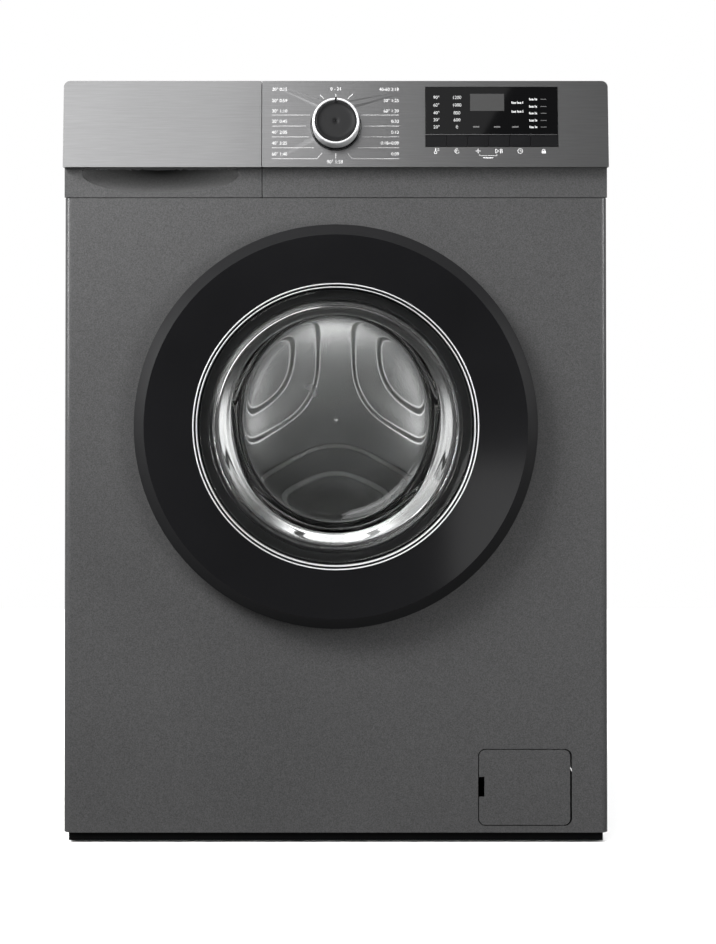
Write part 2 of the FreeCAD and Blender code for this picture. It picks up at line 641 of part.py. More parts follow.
def door_inner_frame():
    """Back half of the door, which clamps the glass flange."""
    frame = door_piece("door_inner_frame")
    back = "-door_gap - 0.2"
    face = "-8 + seat_gap"
    inner = "trim_radius - 0.6"
    frame.turned([("-glass_set + glass_wall + seat_gap", "glass_mouth + 9"),
                  ("-glass_set + glass_wall + seat_gap", inner), (face, inner),
                  (face, "door_radius - door_wall - 0.4"), (back, "door_radius - door_wall - 0.4"),
                  (back, inner + " - 4"),
                  ("-glass_set + glass_wall + 4", inner + " - 4"),
                  ("-glass_set + glass_wall + 4", "glass_mouth + 9")])
    frame.cut_box(("-door_radius - 1", "hinge_x + 25"), ("-10", "0"),
                  ("-bracket_half - 2", "bracket_half + 2"))
    frame.cut_box(("hook_offset - 4.5", "hook_offset + 9"), ("-12", "0"),
                  ("-hook_half - seat_gap", "hook_half + seat_gap"))
    for low, high in (("-hook_half - 4", "-hook_half - seat_gap"), ("hook_half + seat_gap", "hook_half + 4")):
        frame.box(("hook_offset - 5", "hook_offset + 5"), ("-hook_back - 5", face + " + 0.7"), (low, high))
    frame.rod("Z", ("hook_offset", "-hook_back", "-hook_half - 2"), "2 * hook_half + 4", "hook_pin")


def door_glass():
    """Moulded glass bowl that reaches into the drum's mouth."""
    bowl = door_piece("door_glass")
    rim = "trim_radius - trim_width - 0.3"
    bowl.turned([("-glass_set", rim), ("-glass_set", "glass_mouth"),
                 ("glass_depth", "glass_end"), ("glass_depth + 6", "glass_end * 0.7"),
                 ("glass_depth + 8", "0"), ("glass_depth + 8 + glass_wall", "0"),
                 ("glass_depth + 6 + glass_wall", "glass_end * 0.7 + 2"),
                 ("glass_depth + glass_wall", "glass_end + glass_wall"),
                 ("-glass_set + glass_wall", "glass_mouth + glass_wall + 1"),
                 ("-glass_set + glass_wall", rim)])


def door_trim_ring():
    """Chrome ring with two bright edges and a groove between them."""
    ring = door_piece("door_trim_ring")
    outer = "trim_radius - seat_gap"
    inner = "trim_radius - trim_width"
    ring.turned([("-door_reach - 1", outer), ("-door_reach - 1", outer + " - 1.4"),
                 ("-door_reach + 1", outer + " - 1.8"), ("-door_reach + 1", inner + " + 1.6"),
                 ("-door_reach", inner + " + 1.2"), ("-door_reach", inner),
                 ("-door_reach + trim_length", inner), ("-door_reach + trim_length", outer)])


def door_hinge_bracket():
    """Plate on the front panel with two knuckles and the hinge pin."""
    bracket = Piece("door_hinge_bracket", x="hinge_x", y="hinge_y", z="door_height")
    plate = ("hinge_out - seat_gap - bracket_wall", "hinge_out - seat_gap")
    bracket.rod("Z", ("0", "0", "-hinge_half"), "2 * hinge_half", "pin_radius")
    for low in ("-hinge_half", "arm_half + 0.4"):
        height = "hinge_half - arm_half - 0.4"
        bracket.rod("Z", ("0", "0", low), height, "knuckle_radius")
        neck = [("-2", "0"), ("2", "0"), ("22", "neck_rise + 1"), ("18", "neck_rise + 1")]
        bracket.prism("XY_Plane", neck, height, start=low)
    bracket.box(("11", "42"), plate, ("-bracket_half", "bracket_half"))


def door_hinge_arm():
    """Knuckle between the bracket's two, with a plate that is screwed to the door."""
    arm = Piece("door_hinge_arm", x="hinge_x", y="hinge_y", z="door_height")
    span = ("-arm_half", "arm_half")
    arm.rod("Z", ("0", "0", "-arm_half"), "2 * arm_half", "knuckle_radius")
    arm.box(("3", "12"), ("-1.5", "1.5"), span)
    arm.box(("9", "12"), ("-1.5", "hinge_out - 8"), span)
    arm.box(("9", "46"), ("hinge_out - 11", "hinge_out - 8"), span)
    arm.cut_rod("Z", ("0", "0", "-arm_half - 1"), "2 * arm_half + 2", "pin_radius + running_gap")


def door_hook():
    """Sprung latch hook on the door."""
    hook = Piece("door_hook", x="hook_offset", z="door_height")
    nose = "hook_length - hook_back"
    hook.rod("Z", ("0", "-hook_back", "-hook_half"), "2 * hook_half", "hook_wall")
    hook.box(("-hook_wall / 2", "hook_wall / 2"), ("-hook_back", nose), ("-hook_half", "hook_half"))
    hook.box(("-hook_wall / 2", "hook_wall / 2 + 4"), (nose + " - 5", nose), ("-hook_half", "hook_half"))
    hook.cut_rod("Z", ("0", "-hook_back", "-hook_half - 1"), "2 * hook_half + 2", "hook_pin + running_gap")


def door_lock():
    """Lock case behind the front panel; the hook enters it."""
    case = Piece("door_lock", z="door_height")
    case.box(("hook_offset - 16", "hook_offset + 28"), ("sheet_wall + seat_gap", "42"),
             ("-lock_half", "lock_half"))
    case.cut_box(("hook_offset - 9", "hook_offset + 15"), ("0", "36"), ("-15", "15"))


def door_gasket():
    """Rubber bellows between the front panel and the tub."""
    seal = Piece("door_gasket", z="door_height")
    outer = "panel_hole - seat_gap"
    seal.turned([("-1.5", "panel_hole - 7"), ("-1.5", outer), ("12", outer), ("20", "panel_hole - 8"),
                 ("28", "panel_hole - 0.5"), ("34", "tub_mouth + tub_wall + 3.6"),
                 ("tub_face - 0.5", "tub_mouth + tub_wall + 3.6"),
                 ("tub_face - 0.5", "tub_mouth + tub_wall + 0.3"), ("35", "tub_mouth + tub_wall + 0.3"),
                 ("28", "panel_hole - 4"), ("20", "panel_hole - 12.5"), ("10", "panel_hole - 4.5"),
                 ("3.5", "panel_hole - 7"), ("9", "glass_mouth + 6"), ("6.5", "glass_mouth + 4.5")])


# ---------------------------------------------------------------- tub

def tub_front():
    tub = Piece("tub_front", z="door_height")
    collar = "tub_face - collar_length"
    flange = "tub_radius + tub_flange"
    tub.turned([(collar, "tub_mouth"), ("tub_face + tub_wall", "tub_mouth"),
                ("tub_face + tub_wall", "tub_inner"), ("tub_split", "tub_inner"),
                ("tub_split", flange), ("tub_split - flange_wall", flange),
                ("tub_split - flange_wall", "tub_radius"), ("tub_face", "tub_radius"),
                ("tub_face", "tub_mouth + tub_wall"), (collar, "tub_mouth + tub_wall")])
    drop = "door_height - sump_end"
    tub.rod("Z", ("sump_x", "90", "-(%s)" % drop), drop + " - tub_inner + 45", "sump_radius")
    tub.cut_rod("Z", ("sump_x", "90", "-(%s) - 1" % drop), drop, "sump_radius - hose_wall")
    tub.cut_rod("Y", ("0", "tub_face + tub_wall", "0"), "tub_split - tub_face - tub_wall + 1",
                "tub_inner")


def tub_rear():
    """Rear half with the bearing hub and the lugs for springs, dampers and motor."""
    tub = Piece("tub_rear", z="door_height")
    start = "tub_split + seat_gap"
    outside = "tub_back + tub_back_wall"
    flange = "tub_radius + tub_flange"
    tub.turned([(start, "tub_inner"), ("tub_back", "tub_inner"), ("tub_back", "bearing_radius"),
                ("hub_end", "bearing_radius"), ("hub_end", "hub_radius"), (outside, "hub_radius"),
                (outside, "tub_radius"), (start + " + flange_wall", "tub_radius"),
                (start + " + flange_wall", flange), (start, flange)])
    for side in ("-1", "1"):
        tub.box((side + " * spring_x - 10", side + " * spring_x + 10"), ("spring_y - 10", "spring_y + 10"),
                ("110", "spring_lug - door_height"))
        tub.box((side + " * damper_x - 10", side + " * damper_x + 10"), ("damper_y - 10", "damper_y + 10"),
                ("damper_lug - door_height", "-165"))
    tub.box(("motor_x - 40", "motor_x + 40"), ("motor_front + 10", "tub_back + tub_back_wall"),
            ("motor_height + motor_radius - door_height + motor_drop", "-235"))
    tub.rod("Z", ("fill_x", "fill_y", "fill_start"), "fill_end - fill_start", "fill_radius")
    tub.cut_rod("Z", ("fill_x", "fill_y", "fill_start - 1"), "fill_end - fill_start + 2",
                "fill_radius - 2.5")
    tub.cut_rod("Y", ("0", "tub_split - 1", "0"), "tub_back - tub_split + 1", "tub_inner")
    tub.cut_box(("-34", "34"), ("tub_back - 2", "tub_back + 10"), ("-249", "-235"))


def ring_piece(label, front, width, inner, outer, node=True):
    ring = Piece(label, z="door_height", node=node)
    back = "%s + %s" % (front, width)
    ring.turned([(front, inner), (front, outer), (back, outer), (back, inner)])
    return ring


def bearings():
    inner = "shaft_radius + running_gap"
    outer = "bearing_radius - 0.03"
    group("bearings", [ring_piece("front_bearing", "tub_back + 3", "bearing_width", inner, outer, node=False),
                       ring_piece("rear_bearing", "hub_end - 2 - bearing_width", "bearing_width", inner,
                                  outer, node=False)])


def heater():
    """U-shaped element below the drum, with its rubber plug in the tub's back wall."""
    item = Piece("heater", z="door_height")
    for side in ("-25", "25"):
        item.rod("Y", (side, "200", "-243.5"), "tub_back - 195", "3.5")
    item.rod("X", ("-25", "200", "-243.5"), "50", "3.5")
    item.box(("-33.7", "33.7"), ("tub_back + 0.3", "tub_back + tub_back_wall + 6"), ("-248.7", "-235.3"))
    item.rod("Y", ("-12", "tub_back", "-242"), "tub_back_wall + 16", "2.5")
    item.rod("Y", ("12", "tub_back", "-242"), "tub_back_wall + 16", "2.5")


def counterweights():
    halves = []
    for index, (low, high) in enumerate((("-weight_outer - 1", "weight_split"),
                                         ("-weight_split", "weight_outer + 1"))):
        half = ring_piece("counterweight_%d" % index, "tub_face - seat_gap - weight_wall", "weight_wall",
                          "weight_inner", "weight_outer", node=False)
        half.cut_box(("-weight_outer - 1", "weight_outer + 1"), ("0", "tub_face"), (low, high))
        halves.append(half)
    group("counterweights", halves)


# ---------------------------------------------------------------- drum

def drum_shell():
    """Rolled drum with its pressed front and turned-in mouth."""
    drum = Piece("drum_shell", z="door_height")
    outer = "drum_radius"
    inner = "drum_radius - drum_sheet"
    drum.turned([("drum_front + 8", "drum_mouth"), ("drum_front + 2", "drum_mouth + 8"),
                 ("drum_front", "drum_mouth + 45"), ("drum_front + 4", "drum_radius - 7"),
                 ("drum_front + 12", outer), ("drum_end", outer), ("drum_end", inner),
                 ("drum_front + 12.6", inner), ("drum_front + 5.4", "drum_radius - 8"),
                 ("drum_front + 1.6", "drum_mouth + 45"), ("drum_front + 3.5", "drum_mouth + 8.8"),
                 ("drum_front + 9.2", "drum_mouth + 1")])


def drum_back():
    """Back disc with three pressed arms."""
    disc = "drum_end - 6"
    back = ring_piece("drum_back", disc, "drum_sheet", "0", "drum_radius - drum_sheet - seat_gap")
    for turn in (90, 210, 330):
        spoke(back, turn, "arm_width", ("38", "200"), (disc + " - arm_relief", disc + " + 1"), "AdditiveBox")
        spoke(back, turn, "arm_width - 2 * drum_sheet", ("40", "198"),
              (disc + " - arm_relief + drum_sheet", disc + " + 4"), "SubtractiveBox")


def spoke(piece, turn, width, reach, depth, kind):
    """A block that runs outwards from the drum's axis at an angle."""
    block = piece.feature(kind)
    block.Placement = Placement(Vector(), Rotation(Vector(0, -1, 0), turn))
    block.setExpression("Length", linked("(%s) - (%s)" % (reach[1], reach[0])))
    block.setExpression("Width", linked("(%s) - (%s)" % (depth[1], depth[0])))
    block.setExpression("Height", linked(width))
    place(block, "(%s) * cos(%d) + (%s) / 2 * sin(%d)" % (reach[0], turn, width, turn), depth[0],
          "(%s) * sin(%d) - (%s) / 2 * cos(%d)" % (reach[0], turn, width, turn))


def drum_paddles():
    paddles = []
    for index, turn in enumerate((30, 150, 270)):
        paddle = Piece("paddle_%d" % index, z="door_height", node=False)
        base = "drum_radius - drum_sheet - 2.5"
        tip = base + " - paddle_height"
        front = "drum_front + 32"
        profile = [("-paddle_base / 2", base), ("-paddle_tip / 2", tip), ("paddle_tip / 2", tip),
                   ("paddle_base / 2", base)]
        inner = [("-paddle_base / 2 + 4", base + " + 1"), ("-paddle_tip / 2 + 2", tip + " + 3"),
                 ("paddle_tip / 2 - 2", tip + " + 3"), ("paddle_base / 2 - 4", base + " + 1")]
        paddle.prism("XZ_Plane", profile, "paddle_length", start="-(%s) - paddle_length" % front)
        drawing = paddle.sketch("XZ_Plane")
        draw_polygon(drawing, inner)
        drawing.setExpression("AttachmentOffset.Base.z", linked("-(%s) - 3" % front))
        pocket = paddle.feature("Pocket")
        pocket.Profile = drawing
        pocket.setExpression("Length", linked("paddle_length - 6"))
        paddle.body.Placement = Placement(Vector(), Rotation(Vector(0, -1, 0), turn - 90))
        place(paddle.body, "0", "front_y", "door_height")
        paddles.append(paddle)
    group("drum_paddles", paddles)


def drum_spider():
    """Cast arms on the drum's back, with the drive shaft."""
    spider = ring_piece("drum_spider", "spider_front", "spider_wall + 10", "0", "32")
    for turn in (90, 210, 330):
        spoke(spider, turn, "spider_arm", ("0", "drum_radius - 7"),
              ("spider_front", "spider_front + spider_wall"), "AdditiveBox")
    spider.rod("Y", ("0", "spider_front", "0"), "shaft_end - spider_front", "shaft_radius")


def drum_pulley():
    pulley = Piece("drum_pulley", z="door_height")
    bore = "shaft_radius + 0.08"
    rim = "pulley_radius - 8"
    pulley.turned([("pulley_front - 4", bore), ("pulley_back + 3", bore), ("pulley_back + 3", "24"),
                   ("pulley_back - 5", "24"), ("pulley_back - 5", rim), ("pulley_back", rim),
                   ("pulley_back", "pulley_radius"), ("pulley_front", "pulley_radius"),
                   ("pulley_front", rim), ("pulley_front + 5", rim), ("pulley_front + 5", "24"),
                   ("pulley_front - 4", "24")])


def motor_housing():
    case = Piece("motor_housing", x="motor_x", z="motor_height")
    bore = "motor_shaft + running_gap"
    back = "motor_front + motor_length"
    case.turned([("motor_front", bore), ("motor_front", "motor_radius"), (back, "motor_radius"),
                 (back, bore), (back + " - 5", bore), (back + " - 5", "motor_radius - 5"),
                 ("motor_front + 5", "motor_radius - 5"), ("motor_front + 5", bore)])
    case.box(("-35", "35"), ("motor_front + 12", "tub_back"),
             ("motor_radius - 18", "motor_radius + motor_drop - seat_gap"))
    case.cut_rod("Y", ("0", "motor_front + 5", "0"), "motor_length - 10", "motor_radius - 5")


def motor_rotor():
    rotor = Piece("motor_rotor", x="motor_x", z="motor_height")
    rotor.rod("Y", ("0", "motor_front - 4", "0"), "pulley_back - motor_front + 6", "motor_shaft")
    rotor.rod("Y", ("0", "motor_front + 30", "0"), "60", "rotor_radius")
    rotor.rod("Y", ("0", "pulley_front", "0"), "pulley_width", "motor_pulley")


def drive_belt():
    """Flat loop round both pulleys, drawn as tangent arcs and straight runs."""
    belt = Piece("drive_belt", z="door_height")
    big = number("pulley_radius + seat_gap")
    small = number("motor_pulley + seat_gap")
    away = Vector(number("motor_x"), number("motor_height - door_height"), 0)
    for text, kind in (("belt_wall", "Pad"), ("0", "Pocket")):
        wall = number(text)
        drawing = belt.sketch("XZ_Plane")
        heading = math.atan2(away.y, away.x)
        spread = math.acos((big - small) / away.Length)
        arcs = []
        for centre, radius, first, last in (
                (Vector(), big + wall, heading + spread, heading - spread + 2 * math.pi),
                (away, small + wall, heading - spread, heading + spread)):
            circle = Part.Circle(centre, Vector(0, 0, 1), radius)
            arcs.append(Part.ArcOfCircle(circle, first, last))
        runs = [Part.LineSegment(arcs[0].EndPoint, arcs[1].StartPoint),
                Part.LineSegment(arcs[1].EndPoint, arcs[0].StartPoint)]
        drawing.addGeometry(arcs + runs)
        for ends in ((0, 2, 2, 1), (2, 2, 1, 1), (1, 2, 3, 1), (3, 2, 0, 1)):
            drawing.addConstraint(Sketcher.Constraint("Tangent", *ends))
        drawing.addConstraint(Sketcher.Constraint("Coincident", 0, 3, -1, 1))
        bindings = (("Radius", (0,), "pulley_radius + seat_gap + " + text),
                    ("Radius", (1,), "motor_pulley + seat_gap + " + text),
                    ("DistanceX", (-1, 1, 1, 3), "motor_x"),
                    ("DistanceY", (-1, 1, 1, 3), "motor_height - door_height"))
        for rule, where, size in bindings:
            slot = drawing.addConstraint(Sketcher.Constraint(rule, *where, number(size)))
            drawing.setExpression("Constraints[%d]" % slot, linked(size))
        start = "-pulley_front - pulley_width + 1" if kind == "Pad" else "-pulley_front + 5"
        drawing.setExpression("AttachmentOffset.Base.z", linked(start))
        step = belt.feature(kind)
        step.Profile = drawing
        step.setExpression("Length", linked("pulley_width - 2" if kind == "Pad" else "pulley_width + 10"))
        DOC.recompute()


# ---------------------------------------------------------------- suspension

def suspension_springs():
    springs = []
    for index, side in enumerate(("-spring_x", "spring_x")):
        low = "spring_lug + seat_gap + spring_wire"
        helix = DOC.addObject("Part::Helix", "spring_line_%d" % index)
        helix.setExpression("Height", linked("bar_low - seat_gap - spring_wire - (%s)" % low))
        room = "bar_low - spring_lug - 2 * seat_gap - 2 * spring_wire"
        helix.setExpression("Pitch", linked("(%s) / spring_turns" % room))
        helix.setExpression("Radius", linked("spring_radius"))
        wire = DOC.addObject("Part::Circle", "spring_wire_%d" % index)
        wire.Placement = Placement(Vector(), Rotation(Vector(1, 0, 0), 90))
        wire.setExpression("Radius", linked("spring_wire"))
        wire.setExpression("Placement.Base.x", linked("spring_radius"))
        DOC.recompute()
        coil = DOC.addObject("Part::Sweep", "spring_%d" % index)
        coil.Sections = [wire]
        coil.Spine = (helix, ["Edge1"])
        coil.Solid = True
        coil.Frenet = True
        place(coil, side, "front_y + spring_y", low)
        springs.append(coil)
    whole = DOC.addObject("Part::Compound", "suspension_springs")
    whole.Links = springs
    whole.Label = "suspension_springs"
    NODES["suspension_springs"] = whole


def dampers():
    cylinders = []
    rods = []
    for index, side in enumerate(("-damper_x", "damper_x")):
        tube = Piece("damper_cylinder_%d" % index, x=side, y="front_y + damper_y", node=False)
        tube.rod("Z", ("0", "0", "base_top + seat_gap"), "damper_top - base_top - seat_gap", "damper_radius")
        tube.cut_rod("Z", ("0", "0", "base_top + 6"), "damper_top - base_top - 11", "damper_radius - 2")
        tube.cut_rod("Z", ("0", "0", "damper_top - 8"), "9", "rod_radius + running_gap")
        cylinders.append(tube)
        rod = Piece("damper_rod_%d" % index, x=side, y="front_y + damper_y", node=False)
        rod.rod("Z", ("0", "0", "60"), "damper_lug - seat_gap - 60", "rod_radius")
        rod.rod("Z", ("0", "0", "66"), "20", "damper_radius - 2.3")
        rod.rod("Z", ("0", "0", "damper_lug - 8"), "8 - seat_gap", "9")
        rods.append(rod)
    group("damper_cylinders", cylinders)
    group("damper_rods", rods)


# ---------------------------------------------------------------- water

def pump_housing():
    """Filter tube, impeller chamber and pump motor in one moulding on two legs."""
    pump = Piece("pump_housing", x="pump_x", z="pump_height")
    pump.rod("Y", ("0", "pump_front", "0"), "pump_back + 4 - pump_front", "pump_tube")
    pump.rod("Y", ("0", "pump_back", "0"), "58", "pump_motor")
    for depth in ("30", "100"):
        pump.box(("-20", "20"), (depth, depth + " + 16"), ("base_top + seat_gap - pump_height", "-20"))
    pump.rod("X", ("-pump_tube - 20", "90", "0"), "40", "sump_radius")
    pump.box(("20", "drain_x - pump_x + 14"), ("pump_back - 26", "pump_back - 4"), ("-14", "14"))
    pump.cut_rod("Y", ("0", "pump_front - 1", "0"), "pump_back - pump_front + 1", "pump_bore")
    pump.cut_rod("X", ("-pump_tube - 21", "90", "0"), "40", "sump_radius - hose_wall")
    pump.cut_rod("X", ("10", "pump_back - 14", "0"), "drain_x - pump_x - 4", "drain_radius - 2")
    pump.cut_rod("Y", ("drain_x - pump_x", "pump_back - 14", "0"), "20", "drain_radius - 2")
    pump.cut_rod("Y", ("0", "pump_back - 1", "0"), "30", "2 + running_gap")


def pump_impeller():
    wheel = Piece("pump_impeller", x="pump_x", z="pump_height")
    wheel.rod("Y", ("0", "pump_back - 16", "0"), "36", "2")
    wheel.rod("Y", ("0", "pump_back - 18", "0"), "14", "6")
    wheel.box(("-impeller_radius", "impeller_radius"), ("pump_back - 18", "pump_back - 6"), ("-1.2", "1.2"))
    wheel.box(("-1.2", "1.2"), ("pump_back - 18", "pump_back - 6"), ("-impeller_radius", "impeller_radius"))


def filter_plug():
    """Screw plug with a grip bar, in the mouth of the filter tube."""
    plug = Piece("filter_plug", x="pump_x", z="pump_height")
    front = "pump_front - seat_gap"
    plug.rod("Y", ("0", front + " - 5", "0"), "5", "pump_tube - 1")
    plug.rod("Y", ("0", front + " - 1", "0"), "16", "pump_bore - seat_gap")
    plug.box(("-24", "24"), (front + " - 9", front + " - 4"), ("-4", "4"))


def filter_basket():
    """Slotted strainer behind the plug."""
    front = "pump_front + 15"
    basket = Piece("filter_basket", x="pump_x", z="pump_height")
    basket.turned([(front, "0"), (front, "pump_bore - 3"), ("pump_back - 30", "pump_bore - 3"),
                   ("pump_back - 30", "pump_bore - 5"), (front + " + 3", "pump_bore - 5"),
                   (front + " + 3", "0")])
    for index in range(4):
        basket.cut_box(("-40", "40"), (front + " + 10 + %d * 12" % index, front + " + 16 + %d * 12" % index),
                       ("-12", "12"))


def drain_outlet():
    """Pipe from the pump chamber to the back of the machine."""
    pipe = Piece("drain_outlet", x="drain_x", z="pump_height")
    start = "pump_back - 4 + seat_gap"
    pipe.rod("Y", ("0", start, "0"), "cabinet_depth - (%s)" % start, "drain_radius")
    pipe.rod("Y", ("0", start, "0"), "cabinet_depth + rear_reach - (%s)" % start, "spigot_radius")
    pipe.cut_rod("Y", ("0", "0", "0"), "cabinet_depth + rear_reach + 1", "drain_radius - 2")


def inlet_valve():
    """Solenoid valve: threaded spigot behind, outlet pipe to the dispenser box."""
    valve = Piece("inlet_valve", x="fill_x", z="valve_height")
    valve.box(("-18", "18"), ("cabinet_depth - 50", "cabinet_depth - sheet_wall - seat_gap"), ("-18", "18"))
    valve.rod("Y", ("0", "cabinet_depth - 30", "0"), "31", "valve_radius - 0.3")
    valve.rod("Y", ("0", "cabinet_depth + 1", "0"), "rear_reach - 1", "valve_radius")
    valve.rod("Y", ("0", "box_end - front_y + seat_gap", "0"),
              "cabinet_depth - 45 - (box_end - front_y)", "6")
    valve.rod("Z", ("0", "cabinet_depth - 36", "10"), "24", "10")
    valve.cut_rod("Y", ("0", "cabinet_depth - 20", "0"), "21 + rear_reach", "valve_radius - 4")


def cord_gland():
    gland = Piece("cord_gland", x="-gland_x", z="gland_height")
    gland.rod("Y", ("0", "cabinet_depth + 0.3", "0"), "6", "gland_radius")
    gland.rod("Y", ("0", "cabinet_depth - 12", "0"), "14", "gland_radius - 3")
    gland.rod("Y", ("0", "cabinet_depth - 12", "0"), "12 - sheet_wall - 0.3", "gland_radius - 1")
    gland.cut_rod("Y", ("0", "cabinet_depth - 14", "0"), "30", "gland_bore")


def tub_hoses():
    """Fill hose from the dispenser and sump hose to the pump."""
    fill = Piece("fill_hose", x="fill_x", y="front_y + fill_y", node=False)
    low = "door_height + fill_end - 19"
    fill.rod("Z", ("0", "0", low), "box_low - 3 - (%s)" % low, "fill_radius + seat_gap + hose_wall")
    fill.cut_rod("Z", ("0", "0", low + " - 1"), "box_low + 3 - (%s)" % low, "fill_radius + seat_gap")
    sump = Piece("sump_hose", x="sump_x", y="front_y + 90", z="sump_end + 14", node=False)
    route = sump.sketch("XZ_Plane")
    drop = "sump_end + 14 - pump_height"
    bend = number("hose_bend")
    depth = number(drop)
    reach = number("pump_x - pump_tube - 8 - sump_x")
    arc = Part.ArcOfCircle(Part.Circle(Vector(bend, bend - depth, 0), Vector(0, 0, 1), bend),
                           math.pi, 1.5 * math.pi)
    route.addGeometry([Part.LineSegment(Vector(), Vector(0, bend - depth, 0)), arc,
                       Part.LineSegment(Vector(bend, -depth, 0), Vector(reach, -depth, 0))])
    route.addConstraint(Sketcher.Constraint("Coincident", 0, 1, -1, 1))
    route.addConstraint(Sketcher.Constraint("Tangent", 0, 2, 1, 1))
    route.addConstraint(Sketcher.Constraint("Tangent", 1, 2, 2, 1))
    route.addConstraint(Sketcher.Constraint("Vertical", 0))
    route.addConstraint(Sketcher.Constraint("Horizontal", 2))
    bindings = (("Radius", (1,), "hose_bend"),
                ("DistanceX", (-1, 1, 2, 2), "pump_x - pump_tube - 8 - sump_x"),
                ("DistanceY", (2, 2, -1, 1), drop))
    for rule, where, size in bindings:
        slot = route.addConstraint(Sketcher.Constraint(rule, *where, number(size)))
        route.setExpression("Constraints[%d]" % slot, linked(size))
    section = sump.sketch("XY_Plane")
    draw_circle(section, "sump_radius + seat_gap + hose_wall")
    draw_circle(section, "sump_radius + seat_gap")
    DOC.recompute()
    pipe = sump.feature("AdditivePipe")
    pipe.Profile = section
    pipe.Spine = route
    DOC.recompute()
    group("tub_hoses", [fill, sump])


def filter_flap():
    """Small door over the filter, with a finger notch and two pivot pins."""
    flap = Piece("filter_flap")
    left = "flap_left + flap_gap"
    right = "flap_right - 2 * flap_gap"
    low = "flap_low + flap_gap"
    high = "flap_high - flap_gap"
    flap.box((left, right), ("0", "flap_wall"), (low, high))
    flap.fillet("flap_corner - flap_gap", lambda spot, way: near(abs(way.y), "1"))
    flap.cut_box(("flap_left", left + " + notch_width - flap_gap"), ("-1", "flap_wall + 1"),
                 ("notch_low", "notch_high"))
    for start in (low + " + 2", high + " - 8"):
        flap.box(("flap_axis_x - 2.2", "flap_axis_x + 2.2"), ("1", "flap_axis_y - front_y + 2.2"),
                 (start, start + " + 6"))
    flap.rod("Z", ("flap_axis_x", "flap_axis_y - front_y", "flap_low - 3.5"),
             "5.5 + flap_gap", "flap_pin")
    flap.rod("Z", ("flap_axis_x", "flap_axis_y - front_y", high + " - 3"),
             "6.5 + flap_gap", "flap_pin")


def build():
    base_pan()
    side_panel("left_side_panel", "-")
    side_panel("right_side_panel", "")
    for make in (front_panel, rear_panel, rear_cover, cabinet_screws, top_cover, cross_bars, feet,
                 control_panel, display_window, keys, control_board, knob, drawer_front, drawer_tray,
                 dispenser_box, door_outer_frame, door_inner_frame, door_glass, door_trim_ring,
                 door_hinge_bracket, door_hinge_arm, door_hook, door_lock, door_gasket, tub_front,
                 tub_rear, bearings, heater, counterweights, drum_shell, drum_back, drum_paddles,
                 drum_spider, drum_pulley, motor_housing, motor_rotor, drive_belt,
                 suspension_springs, dampers, pump_housing, pump_impeller, filter_plug,
                 filter_basket, drain_outlet, inlet_valve, cord_gland, tub_hoses, filter_flap):
        make()
    DOC.recompute()


def check():
    """Stops if any object failed or any sub-part has no valid shape."""
    for item in DOC.Objects:
        if {"Invalid", "Error"} & set(item.State):
            raise RuntimeError("%s did not compute" % item.Label)
    for name, item in NODES.items():
        if item.Shape.isNull() or not item.Shape.isValid() or not item.Shape.Solids:
            raise RuntimeError("%s has no valid solid" % name)


def export():
    os.makedirs("parts", exist_ok=True)
    for name, item in NODES.items():
        item.Shape.exportStep("parts/%s.step" % name)


build()
check()
export()
print("%d nodes built" % len(NODES))
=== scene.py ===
import json
import math

import bpy
from mathutils import Matrix, Vector


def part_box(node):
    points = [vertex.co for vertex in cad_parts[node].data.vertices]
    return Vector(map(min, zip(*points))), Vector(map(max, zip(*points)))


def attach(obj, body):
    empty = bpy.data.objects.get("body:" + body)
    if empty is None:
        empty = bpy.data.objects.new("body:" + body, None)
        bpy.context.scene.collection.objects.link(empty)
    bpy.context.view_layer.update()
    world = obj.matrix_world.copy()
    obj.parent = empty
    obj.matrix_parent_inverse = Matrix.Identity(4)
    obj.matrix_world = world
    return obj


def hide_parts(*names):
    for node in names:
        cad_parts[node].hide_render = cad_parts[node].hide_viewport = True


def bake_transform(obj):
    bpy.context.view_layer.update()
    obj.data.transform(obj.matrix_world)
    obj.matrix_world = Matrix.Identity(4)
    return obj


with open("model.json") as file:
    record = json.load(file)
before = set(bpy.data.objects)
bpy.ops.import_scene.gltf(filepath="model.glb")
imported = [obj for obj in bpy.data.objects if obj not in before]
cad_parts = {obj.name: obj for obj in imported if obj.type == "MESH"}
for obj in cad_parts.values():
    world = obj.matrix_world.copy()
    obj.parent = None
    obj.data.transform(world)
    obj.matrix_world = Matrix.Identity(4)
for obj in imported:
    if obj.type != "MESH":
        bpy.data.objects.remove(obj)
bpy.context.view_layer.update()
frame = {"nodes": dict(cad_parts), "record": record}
NODES = frame["nodes"]

MM = 0.001
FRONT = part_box("front_panel")[0].y
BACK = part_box("rear_panel")[1].y
DOOR_Z = sum(corner.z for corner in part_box("door_outer_frame")) / 2
# The fascia's lower lip and slope, as the part has them; all bare sizes are millimetres.
LIP_REACH = 14
STRIP_TOP = 744
FASCIA_HIGH = 96
FASCIA_LEAN = 8
LIP = Vector((0, FRONT - LIP_REACH * MM, STRIP_TOP * MM))
SLOPE = math.atan(FASCIA_LEAN / FASCIA_HIGH)
UP = Vector((0, math.sin(SLOPE), math.cos(SLOPE)))
OUT = Vector((0, -math.cos(SLOPE), math.sin(SLOPE)))
ACROSS = Vector((1, 0, 0))
KNOB_UP = 46.16
# The finger scoop: half its width, the painted shade's drop, its offset and its lowest edge.
SCOOP_HALF = 88
SCOOP_DROP = 26
SCOOP_SHIFT = 3
SCOOP_FLOOR = 714
BEVEL_START = 208.8
TEXT_SIZE = 5.0


def on_fascia(x, up, out=0.0):
    """A point on the slanted fascia: millimetres across, up the slope and out of it."""
    return LIP + (ACROSS * x + UP * up + OUT * out) * MM


# ---------------------------------------------------------------- materials

